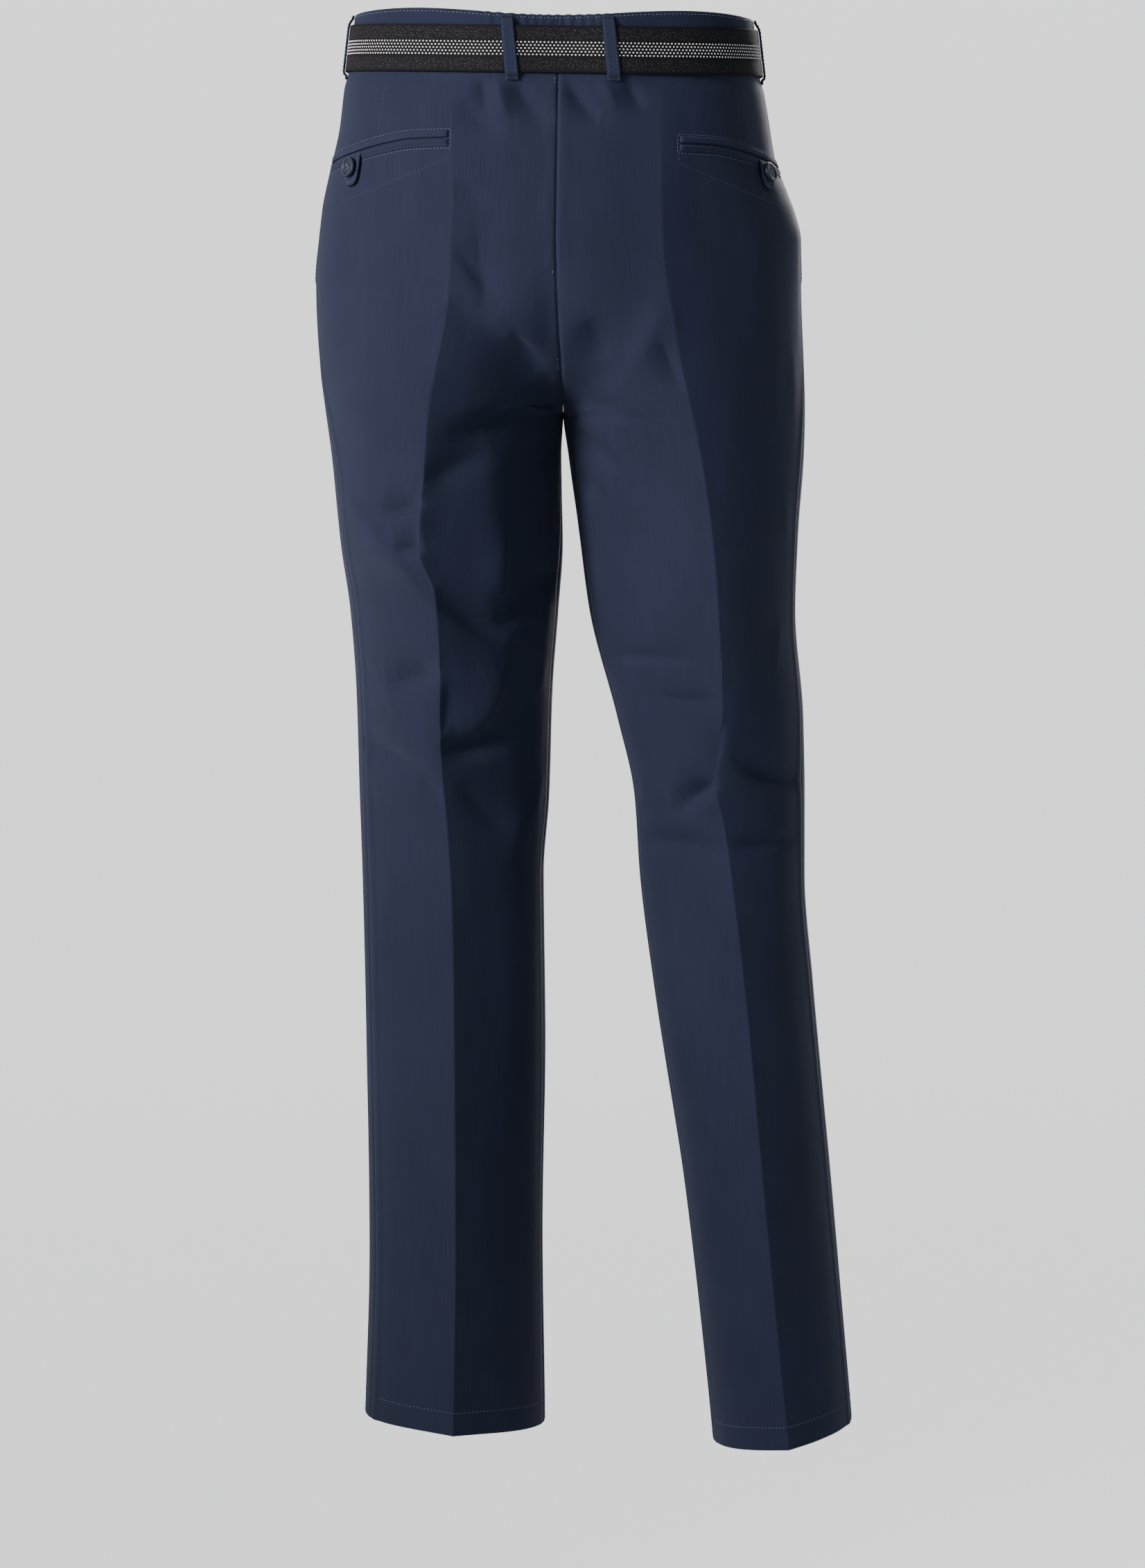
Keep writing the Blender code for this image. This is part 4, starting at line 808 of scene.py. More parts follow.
@dataclass(frozen=True)
class TwillFinish:
    """Cotton twill: fine diagonal ribs, slubs along the thread and a slight sheen."""

    name: str
    light: Colour
    dark: Colour
    rib: float = 0.00062
    slub: float = 0.0011
    slub_run: float = 0.034
    relief: float = 0.00012
    thread: Thread = Thread.LENGTHWISE

    def material(self) -> Material:
        """Make the material; it reads the piece's UV map, in metres."""
        work = NodeWork(self.name)
        place = work.add("ShaderNodeUVMap", {"uv_map": "UVMap"})
        fine, long = 1.0 / self.slub, 1.0 / self.slub_run
        along = (fine, long, 1.0) if self.thread is Thread.LENGTHWISE else (long, fine, 1.0)
        slubs = work.noise(place, along, 3.0)
        cloudy = work.noise(place, (16.0, 11.0, 1.0), 2.0)
        across, up = work.axes(place)
        ribs = ((across + up * 1.6) * (math.tau / self.rib)).sine() * 0.5 + 0.5
        yarns = (up * (math.tau / (self.rib * 0.9))).sine() * 0.5 + 0.5
        shade = (slubs - 0.5) * 1.1 + (cloudy - 0.5) * 0.7 + 0.5
        colour = work.mix(shade.between(0.1, 0.9), self.dark, self.light)
        height = ribs * 0.6 + yarns * 0.15 + slubs * 0.8
        return work.finish(base_color=colour, roughness=0.78 + (slubs - 0.5) * 0.2, specular_ior_level=0.04,
                           sheen_weight=0.03, sheen_roughness=0.4, sheen_tint=(0.62, 0.72, 1.0),
                           normal=work.bump(height, self.relief))


@dataclass(frozen=True)
class ThreadFinish:
    """Polyester sewing thread, two plies twisted."""

    name: str
    colour: Colour

    def material(self) -> Material:
        """Make the material, with the twist from the object's own place."""
        work = NodeWork(self.name)
        grain = work.noise(work.own_place(), (900.0, 900.0, 900.0), 1.0)
        return work.finish(base_color=work.shaded(grain, self.colour, 0.55), roughness=0.6,
                           specular_ior_level=0.2, normal=work.bump(grain, 0.0001))


@dataclass(frozen=True)
class WebbingFinish:
    """Black belt webbing: slanting ribs with grey flecks beside a plain middle band."""

    name: str
    black: Colour
    grey: Colour
    rib: float = 0.00155
    band_half: float = 0.0068

    def material(self) -> Material:
        """Make the material; UV is (length, height) on the strap, in metres."""
        work = NodeWork(self.name)
        place = work.add("ShaderNodeUVMap", {"uv_map": "UVMap"})
        along, up = work.axes(place)
        slant = along + up * 1.25
        ribs = (slant * (math.tau / self.rib)).sine() * 0.5 + 0.5
        picks = (up * (math.tau / 0.0011)).sine() * 0.5 + 0.5
        border = up.maths("ABSOLUTE", up).between(self.band_half, self.band_half + 0.0006)
        flecks = work.noise(place, (700.0, 1100.0, 1.0), 2.0).between(0.52, 0.66)
        edge = up.maths("ABSOLUTE", up).between(0.0152, 0.0160)
        fleck_share = flecks * ribs * border * (1.0 - edge)
        colour = work.mix(fleck_share * 0.8, self.black, self.grey)
        weave = border * ribs + (1.0 - border) * (picks * 0.6)
        height = weave * 0.7 + picks * ribs * 0.3
        return work.finish(base_color=colour, roughness=0.85, specular_ior_level=0.04,
                           normal=work.bump(height, 0.00022))


@dataclass(frozen=True)
class ResinFinish:
    """Polished dark resin with a faint swirl."""

    name: str
    deep: Colour
    pale: Colour

    def material(self) -> Material:
        """Make the material."""
        work = NodeWork(self.name)
        place = work.own_place()
        swirl = work.noise(place, (160.0, 160.0, 420.0), 4.0)
        scratches = work.noise(place, (2400.0, 2400.0, 2400.0), 2.0)
        return work.finish(base_color=work.mix(swirl.between(0.45, 0.75), self.deep, self.pale),
                           roughness=0.34 + scratches * 0.16, specular_ior_level=0.12,
                           normal=work.bump(scratches, 0.00002))


@dataclass(frozen=True)
class MetalFinish:
    """Satin metal with fine brushing."""

    name: str
    colour: Colour
    roughness: float

    def material(self) -> Material:
        """Make the material."""
        work = NodeWork(self.name)
        place = work.own_place()
        brushed = work.noise(place, (120.0, 4000.0, 4000.0), 2.0)
        worn = work.noise(place, (90.0, 90.0, 90.0), 3.0).between(0.3, 0.7)
        return work.finish(base_color=work.shaded(worn, self.colour, 0.62), metallic=1.0,
                           roughness=self.roughness + brushed * 0.18, normal=work.bump(brushed, 0.00003))


@dataclass(frozen=True)
class StudioFinish:
    """Plain matte paper of the floor and the backdrop."""

    name: str
    colour: Colour
    glow: float

    def material(self) -> Material:
        """Make the material."""
        work = NodeWork(self.name)
        mottle = work.noise(work.own_place(), (1.2, 1.2, 1.2), 1.0)
        return work.finish(base_color=work.shaded(mottle, self.colour, 0.985), roughness=0.95,
                           specular_ior_level=0.0, emission_color=self.colour, emission_strength=self.glow)


class Finishes:
    """Every material of the trousers, made once."""

    def __init__(self) -> None:
        """Make them all."""
        self.navy = TwillFinish("navy_cotton_twill", (0.0074, 0.0101, 0.0207),
                                (0.0053, 0.0073, 0.0151)).material()
        self.trim = TwillFinish("navy_trim_twill", (0.0078, 0.0107, 0.0219), (0.0056, 0.0078, 0.0160),
                                thread=Thread.CROSSWISE).material()
        self.tape = TwillFinish("zip_tape_weave", (0.016, 0.020, 0.036), (0.009, 0.012, 0.024),
                                rib=0.0009).material()
        self.thread = ThreadFinish("navy_thread", (0.052, 0.066, 0.112)).material()
        # Darker copy of the navy thread, painted shade: the same thread as it would look lying in shade.
        self.thread_in_painted_shade = ThreadFinish("navy_thread_painted_shade", (0.022, 0.029, 0.052)).material()
        self.dark_thread = ThreadFinish("dark_navy_thread", (0.004, 0.005, 0.010)).material()
        self.webbing = WebbingFinish("black_webbing", (0.0034, 0.0036, 0.0042),
                                     (0.038, 0.040, 0.044)).material()
        self.dots = ThreadFinish("pale_webbing_yarn", (0.40, 0.42, 0.41)).material()
        self.resin = ResinFinish("dark_resin", (0.0040, 0.0055, 0.0120), (0.0085, 0.0110, 0.0210)).material()
        self.steel = MetalFinish("satin_buckle_metal", (0.42, 0.42, 0.44), 0.28).material()
        self.brass = MetalFinish("antique_zip_metal", (0.55, 0.52, 0.46), 0.32).material()
        self.paper = StudioFinish("studio_paper", (0.50, 0.50, 0.505), 1.95).material()


# ---------------------------------------------------------------- mesh work
def dress(piece: Piece, finish: Material,
          stands_for: Sequence[str] = ()) -> Piece:
    """Give a piece its material and its place in the frame.

    Args:
        piece: The finished piece.
        finish: Its material.
        stands_for: CAD nodes that it replaces.

    Returns:
        The piece.
    """
    piece.data.materials.clear()
    piece.data.materials.append(finish)
    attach(piece, BODY)
    if stands_for:
        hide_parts(*stands_for)
    LOG.info("%s: %d faces", piece.name, len(piece.data.polygons))
    return piece


def take_mesh(shape: bmesh.types.BMesh, name: str) -> bpy.types.Mesh:
    """Write a bmesh into a new mesh and free it.

    Args:
        shape: The bmesh.
        name: Name of the mesh.

    Returns:
        The mesh.
    """
    mesh = bpy.data.meshes.new(name)
    shape.to_mesh(mesh)
    shape.free()
    return mesh


def new_piece(name: str, mesh: bpy.types.Mesh) -> Piece:
    """Link a mesh to the scene as a smooth piece at the origin.

    Args:
        name: The piece's name.
        mesh: Its mesh.

    Returns:
        The piece.
    """
    mesh.shade_smooth()
    piece = bpy.data.objects.new(name, mesh)
    bpy.context.scene.collection.objects.link(piece)
    return piece


def lay_grid(name: str, points: Array, outward: Array, flat: Array | None = None) -> Piece:
    """Lay a grid mesh on rows of points.

    Args:
        name: The piece's name.
        points: Rows and columns of points, in millimetres.
        outward: Directions that its faces look in.
        flat: Rows and columns of (across, up) for the UV map, in millimetres. Worked out if left out.

    Returns:
        The piece, one layer of cloth without thickness.
    """
    rows, columns = points.shape[:2]
    if flat is None:
        across = run_length(points)
        up = -run_length(np.swapaxes(points, 0, 1)).T
        flat = np.stack([across, up], -1)
    shape = bmesh.new()
    bmesh.ops.create_grid(shape, x_segments=columns - 1, y_segments=rows - 1, size=0.5)
    mesh = take_mesh(shape, name)
    corners = np.empty(len(mesh.vertices) * 3, dtype=np.float32)
    mesh.vertices.foreach_get("co", corners)
    corners = corners.reshape(-1, 3)
    column = np.rint((corners[:, 0] + 0.5) * (columns - 1)).astype(int)
    row = np.rint((0.5 - corners[:, 1]) * (rows - 1)).astype(int)
    mesh.vertices.foreach_set("co", (points[row, column] * MM).astype(np.float32).ravel())
    layer = mesh.uv_layers.new(name="UVMap")
    loops = np.empty(len(mesh.loops), dtype=np.int32)
    mesh.loops.foreach_get("vertex_index", loops)
    layer.data.foreach_set("uv", (flat[row, column][loops] * MM).astype(np.float32).ravel())
    mesh.update()
    normals = np.empty(len(mesh.vertices) * 3, dtype=np.float32)
    mesh.vertices.foreach_get("normal", normals)
    if (normals.reshape(-1, 3) * outward[row, column]).sum() < 0.0:
        mesh.flip_normals()
    return new_piece(name, mesh)


def thicken(piece: Piece, thickness: float) -> Piece:
    """Give a layer its thickness, inwards.

    Args:
        piece: The layer.
        thickness: Its wall, in millimetres.

    Returns:
        The piece.
    """
    wall = piece.modifiers.new("cloth_wall", "SOLIDIFY")
    wall.thickness = thickness * MM
    wall.offset = -1.0
    wall.use_even_offset = False
    return piece


def make_cloth(node: str, points: Array, outward: Array, wall: float, finish: Material,
               flat: Array | None = None) -> Piece:
    """Lay, thicken and dress the cloth that stands for one CAD node.

    Args:
        node: Name of the CAD node.
        points: Rows and columns of points of its outside, in millimetres.
        outward: Directions that its faces look in.
        wall: Its thickness, in millimetres.
        finish: Its material.
        flat: Rows and columns of (across, up) for the UV map, as in lay_grid.

    Returns:
        The piece.
    """
    piece = thicken(lay_grid(node + "_cloth", points, outward, flat), wall)
    return dress(piece, finish, (node,))


def scatter(name: str, centres: Array, forward: Array, outward: Array, size: Triple) -> Piece:
    """Put one small rounded bead at each of many places, as one joined piece.

    Args:
        name: The piece's name.
        centres: Their middles, in millimetres.
        forward: Direction of each one's length.
        outward: Direction in which each one stands up.
        size: Length, width and height, in millimetres.

    Returns:
        The piece.
    """
    forward, outward = unit(forward), unit(outward)
    aside = unit(np.cross(outward, forward))
    outward = np.cross(forward, aside)
    batches = []
    for start in range(0, len(centres), BEAD_BATCH):
        batch = bmesh.new()
        for index in range(start, min(start + BEAD_BATCH, len(centres))):
            turn = Matrix((forward[index], aside[index], outward[index])).transposed()
            place = Matrix.Translation(Vector(centres[index] * MM)) @ turn.to_4x4()
            bmesh.ops.create_icosphere(batch, subdivisions=1, radius=0.5 * MM,
                                       matrix=place @ Matrix.Diagonal((*size, 1.0)))
        batches.append(take_mesh(batch, name))
    whole = bmesh.new()
    for mesh in batches:
        whole.from_mesh(mesh)
        bpy.data.meshes.remove(mesh)
    return new_piece(name, take_mesh(whole, name))


def turn_profile(profile: Sequence[tuple[float, float]], steps: int, merge: float) -> bmesh.types.BMesh:
    """Spin a half section round the upright axis.

    Args:
        profile: (reach, height) of its points, from the axis outwards and back.
        steps: Number of steps in the full turn.
        merge: Distance under which points are merged.

    Returns:
        The turned shape, with its faces pointing outwards.
    """
    shape = bmesh.new()
    ring = [shape.verts.new((reach, 0.0, height)) for reach, height in profile]
    for low, high in zip(ring, ring[1:]):
        shape.edges.new((low, high))
    bmesh.ops.spin(shape, geom=shape.verts[:] + shape.edges[:], cent=(0, 0, 0), axis=(0, 0, 1),
                   angle=math.tau, steps=steps, use_merge=True)
    bmesh.ops.remove_doubles(shape, verts=shape.verts[:], dist=merge)
    bmesh.ops.recalc_face_normals(shape, faces=shape.faces[:])
    return shape


def weld(piece: Piece) -> None:
    """Merge the doubled vertices where a grid closes on itself.

    Args:
        piece: The piece.
    """
    shape = bmesh.new()
    shape.from_mesh(piece.data)
    bmesh.ops.remove_doubles(shape, verts=shape.verts[:], dist=0.02 * MM)
    shape.to_mesh(piece.data)
    shape.free()


def carve(piece: Piece, cutter: Piece) -> Piece:
    """Cut one mesh with another for good.

    Args:
        piece: What is cut.
        cutter: What cuts. It is removed.

    Returns:
        The cut piece.
    """
    cut = piece.modifiers.new("cut", "BOOLEAN")
    cut.operation = "DIFFERENCE"
    cut.object = cutter
    solid = piece.evaluated_get(bpy.context.evaluated_depsgraph_get())
    mesh = bpy.data.meshes.new_from_object(solid)
    name, old = piece.name, (piece, cutter)
    for thing in old:
        bpy.data.objects.remove(thing, do_unlink=True)
    made = new_piece(name, mesh)
    mesh.set_sharp_from_angle(angle=math.radians(SHARP_ANGLE))
    return made


@dataclass(frozen=True)
class Seam:
    """A row of stitches: how long, how far apart and how thick they are."""

    length: float = 2.3
    gap: float = 0.9
    width: float = 0.62
    height: float = 0.42
    lift: float = 0.08

    def sew(self, name: str, points: Array, outward: Array, finish: Material) -> Piece:
        """Sew along a line.

        Args:
            name: The piece's name.
            points: The line, in millimetres.
            outward: Directions away from the cloth along it.
            finish: The thread.

        Returns:
            All its stitches, as one piece.
        """
        lengths = run_length(points)
        count = max(int(lengths[-1] / (self.length + self.gap)), 1)
        middles = (np.arange(count) + 0.5) * lengths[-1] / count
        half = self.length / 2.0
        ahead = read_along(points, lengths, middles + half) - read_along(points, lengths, middles - half)
        away = unit(read_along(outward, lengths, middles))
        centres = read_along(points, lengths, middles) + away * self.lift
        piece = scatter(name, centres, ahead, away, (self.length, self.width, self.height))
        return dress(piece, finish)


TOP_SEAM = Seam()
HEM_SEAM = Seam(length=2.0, gap=1.3, width=0.5, height=0.35, lift=0.02)
SEAT_SEAM = Seam(length=2.2, gap=1.0)
WAIST_SEAM = Seam(length=2.1, gap=1.1)
EDGE_SEAM = Seam(length=1.9, gap=0.9, width=0.5, height=0.35)
TAB_SEAM = Seam(length=1.7, gap=0.8, width=0.45, height=0.3)
BAG_SEAM = Seam(length=1.9, gap=1.1, width=0.45, height=0.3, lift=0.02)
DART_SEAM = Seam(length=1.9, gap=0.7, width=0.4, height=0.3, lift=0.02)
POCKET_TACK = Seam(length=0.5, gap=0.05, width=1.3, height=0.5)
LOOP_TACK = Seam(length=0.55, gap=0.1, width=1.5, height=0.5)


# ---------------------------------------------------------------- leg and seat panels
class Cut(NamedTuple):
    """Flat cut of a piece of cloth, in metres and square metres."""

    width: float
    length: float
    area: float


@dataclass
class Panel:
    """One back or front panel: a single layer that is turned up inside at the hem."""

    finishes: Finishes
    half: HalfForm
    face: int
    columns: tuple[int, int]
    rows: int
    cut: Cut
    crowding: float = 1.25       # above 1, columns stand closer near the crease
    turn_steps: int = 5
    inside_rows: int = 5
    raised: float = 0.35         # the seam's allowances under the cloth
    ridge: float = 0.9           # the same at the side seam, where both are pressed to the back
    allowance: float = 9.0
    allowance_soft: tuple[float, float] = (1.5, -2.5)
    groove: float = 0.34
    groove_width: float = 0.6
    overlap: float = 0.06        # the sewn edges meet without a chink
    profile_levels: tuple[float, float] = (-16.0, -30.0)
    seat_push: float = 6.0       # beside the seat seam, the profile moves the cloth level

    @property
    def name(self) -> str:
        """Name of the CAD node that it stands for."""
        return f"{'back' if self.face < 0 else 'front'}_panel_{self.half.name}"

    def levels(self) -> tuple[Array, Array]:
        """Levels of its rows and how far inside each lies, round the bottom edge and up again."""
        bottom = self.half.hem_z
        outside = np.linspace(WAIST_SEAM_Z - SEAM_GAP, bottom + HEM_FOLD, self.rows)
        angles = np.linspace(0.0, math.pi, self.turn_steps + 1)[1:]
        turn_z = bottom + HEM_FOLD - HEM_FOLD * np.sin(angles)
        turn_in = HEM_FOLD * (1.0 - np.cos(angles))
        inside = np.linspace(bottom + HEM_FOLD, bottom + HEM_HEIGHT, self.inside_rows + 1)[1:]
        levels = np.concatenate([outside, turn_z, inside])
        depths = np.concatenate([np.zeros(self.rows), turn_in, np.full(self.inside_rows, 2.0 * HEM_FOLD)])
        return levels, depths

    def turns(self, z: Array) -> Array:
        """Find the places of its columns on each section, with one on the crease.

        Args:
            z: Levels of the rows.

        Returns:
            Turns, rows by columns.
        """
        if self.face < 0:
            first, crease, last = self.half.side_turn(z), 1.0, self.half.inner_turn(z)
        else:
            first, crease, last = self.half.inner_turn(z), 3.0, 4.0 + self.half.side_turn(z)
        to_crease = 1.0 - (1.0 - np.linspace(0.0, 1.0, self.columns[0] + 1)[:-1]) ** self.crowding
        from_crease = np.linspace(0.0, 1.0, self.columns[1] + 1) ** self.crowding
        first, last = first[:, None], last[:, None]
        return np.hstack([first + (crease - first) * to_crease, crease + (last - crease) * from_crease])

    def profile(self, to_first: Array, to_last: Array) -> Array:
        """Height of the seams' allowances and of the grooves at both edges.

        Args:
            to_first: Lengths to the first column's edge.
            to_last: Lengths to the last column's edge.

        Returns:
            Heights in the same shape.
        """
        heights = np.zeros_like(to_first)
        sides = ((to_first, self.ridge), (to_last, self.raised))
        outer, inner = (self.allowance + soft for soft in self.allowance_soft)
        for distance, raised in sides if self.face < 0 else sides[::-1]:
            raised = self.raised if self.face > 0 else raised
            heights += raised * smooth_step(outer, inner, distance)
            heights -= self.groove * bell(distance, self.groove_width)
        return heights

    def build(self) -> None:
        """Lay the panel on the form, with its seams' profile."""
        z, depth = self.levels()
        turns = self.turns(z)
        level = np.broadcast_to(z[:, None], turns.shape)
        points, normals = self.half.cloth(turns, level, self.face)
        across = run_length(points)
        for end, direction in ((0, 1), (-1, -1)):
            beyond = unit(points[:, end] - points[:, end + direction])
            seat = (z > CROTCH_Z) & (end == (-1 if self.face < 0 else 0))
            points[:, end] += beyond * np.where(seat, SEAM_GAP / 2.0 + self.overlap, self.overlap)[:, None]
        to_first, to_last = across, across[:, -1:] - across
        profile = self.profile(to_first, to_last) * smooth_step(*self.profile_levels, level)
        beside = to_last if self.face < 0 else to_first
        square = (z > CROTCH_Z)[:, None] * bell(beside, self.seat_push)
        push = unit(normals * np.stack([1.0 - square, np.ones_like(square), np.ones_like(square)], -1))
        points = points + push * (profile - depth[:, None])[..., None]
        crease = self.columns[0]
        flat = np.stack([across - across[:, crease:crease + 1], level], -1)
        piece = make_cloth(self.name, points, normals, CLOTH, self.finishes.navy, flat)
        "waistband_" + self.half.name


@dataclass
class Panels:
    """The four panels and the stitching that holds them together."""

    finishes: Finishes
    back_columns: tuple[int, int] = (50, 54)
    back_rows: int = 440
    front_columns: tuple[int, int] = (34, 30)
    front_rows: int = 260
    hem_stitch: float = 17.5
    hem_steps: int = 400
    hem_end: float = 3.999       # just short of a full turn
    seat_stitch: float = 2.4
    seat_stitch_end: float = 22.0
    seat_steps: int = 160
    back_cut: Cut = Cut(0.33, 1.06, 0.235)
    front_cut: Cut = Cut(0.36, 1.06, 0.290)

    def build(self) -> None:
        """Make the panels and their seams."""
        for half in HALVES:
            Panel(self.finishes, half, -1, self.back_columns, self.back_rows, self.back_cut).build()
            Panel(self.finishes, half, 1, self.front_columns, self.front_rows, self.front_cut).build()
            self.hem(half)
        self.seat()

    def hem(self, half: HalfForm) -> None:
        """Sew the hem all round.

        Args:
            half: The half that it belongs to.
        """
        turns = np.linspace(0.0, self.hem_end, self.hem_steps)
        z = np.full_like(turns, half.hem_z + self.hem_stitch)
        behind, before = half.cloth(turns, z, -1), half.cloth(turns, z, 1)
        points, outward = (np.where((turns < 2.0)[:, None], *pair) for pair in zip(behind, before))
        HEM_SEAM.sew("hem_stitches_" + half.name, points, outward, self.finishes.thread)

    def seat(self) -> None:
        """Sew beside the seat seam, on its left."""
        z = np.linspace(BELOW_BELT_Z, CROTCH_Z + self.seat_stitch_end, self.seat_steps)
        turn = LEFT.turn_across(z, -1, np.full_like(z, self.seat_stitch))
        points, outward = LEFT.cloth(turn, z, -1)
        SEAT_SEAM.sew("seat_seam_stitches", points, outward, self.finishes.thread)


# ---------------------------------------------------------------- pieces on the panels
def laid(half: HalfForm, face: int, z: Array, across: Array, lift: Array | float) -> tuple[Array, Array]:
    """Place a grid on one half's cloth.

    Args:
        half: The half.
        face: -1 for the back, 1 for the front.
        z: Levels, rows by columns.
        across: Lengths from the centre seam, in the same shape.
        lift: Heights above the cloth.

    Returns:
        Points and outward directions.
    """
    turns = half.turn_across(z.ravel(), face, across.ravel()).reshape(z.shape)
    points, normals = half.cloth(turns, z, face)
    return points + normals * np.broadcast_to(lift, z.shape)[..., None], normals


def rolled(share: Array, edge: float) -> Array:
    """Height of a folded strip across its width: 1 in the middle, rolling down to 0 at both edges."""
    inside = np.clip(np.minimum(share, 1.0 - share) / edge, 0.0, 1.0)
    return np.sqrt(1.0 - (1.0 - inside) ** 2)


@dataclass
class Button:
    """Turned four-hole button with its thread."""

    finishes: Finishes
    diameter: float = 15.0
    thickness: float = 3.0
    rim: float = 1.7
    dish: float = 0.9
    edge: float = 0.7
    edge_steps: int = 9
    back_hollow: float = 0.25
    back_edge: float = 3.0
    hole: float = 1.8
    hole_sides: int = 14
    pitch: float = 3.4
    segments: int = 48
    merge: float = 0.001
    thread_size: Triple = (4.7, 1.1, 0.9)
    thread_lift: float = 0.15

    def outline(self) -> list[tuple[float, float]]:
        """Half section from the back's middle round the rim to the front's middle."""
        radius, top = self.diameter / 2.0, self.thickness
        points = [(0.0, self.back_hollow), (radius - self.back_edge, 0.0)]
        for angle in np.linspace(-90.0, 90.0, self.edge_steps):
            height = top / 2.0 + (top / 2.0) * math.sin(math.radians(angle))
            points.append((radius - self.edge + self.edge * math.cos(math.radians(angle)), height))
        inner, floor = radius - self.edge - self.rim, top - self.dish
        points += [(inner + 0.9, top - 0.08), (inner + 0.45, top - 0.35), (inner, floor + 0.08)]
        points += [(inner - 0.6, floor), (0.0, floor + 0.12)]
        return points

    def build(self, name: str, seat: Array, outward: Array, shank: float) -> None:
        """Turn the button, bore its holes and sew it on.

        Args:
            name: Name of the CAD node.
            seat: Middle of its back, in millimetres.
            outward: The way that it faces.
            shank: Length of thread under it.
        """
        direction = Vector(outward).normalized()
        turn = Vector((0, 0, 1)).rotation_difference(direction).to_matrix()
        place = Matrix.Translation(Vector(seat) * MM) @ turn.to_4x4() @ Matrix.Diagonal((MM, MM, MM, 1.0))
        shape = turn_profile(self.outline(), self.segments, self.merge)
        bmesh.ops.transform(shape, matrix=place, verts=shape.verts[:])
        holes = bmesh.new()
        corners = [Vector((math.cos(a), math.sin(a), 0.0)) * self.pitch / math.sqrt(2.0)
                   for a in (math.radians(45.0 + 90.0 * index) for index in range(4))]
        for corner in corners:
            made = bmesh.ops.create_cone(holes, cap_ends=True, segments=self.hole_sides,
                                         radius1=self.hole / 2.0, radius2=self.hole / 2.0,
                                         depth=3.0 * self.thickness)
            bmesh.ops.translate(holes, vec=corner, verts=made["verts"])
        bmesh.ops.transform(holes, matrix=place, verts=holes.verts[:])
        piece, cutter = (new_piece(name + label, take_mesh(part, name + label))
                         for part, label in ((shape, "_resin"), (holes, "_bores")))
        dress(carve(piece, cutter), self.finishes.resin, (name,))
        face = Vector((0, 0, self.thickness - self.dish + self.thread_lift))
        spots = [(corners[index], corners[index + 1] - corners[index]) for index in (0, 2)]
        centres = [Vector(seat) + turn @ (spot + run / 2.0 + face) for spot, run in spots]
        forwards = [turn @ run for _, run in spots]
        centres.append(Vector(seat) - direction * shank / 2.0)
        forwards.append(forwards[0])
        thread = scatter(name + "_thread", np.array(centres), np.array(forwards),
                         np.array([direction] * len(centres)), self.thread_size)
        dress(thread, self.finishes.thread)


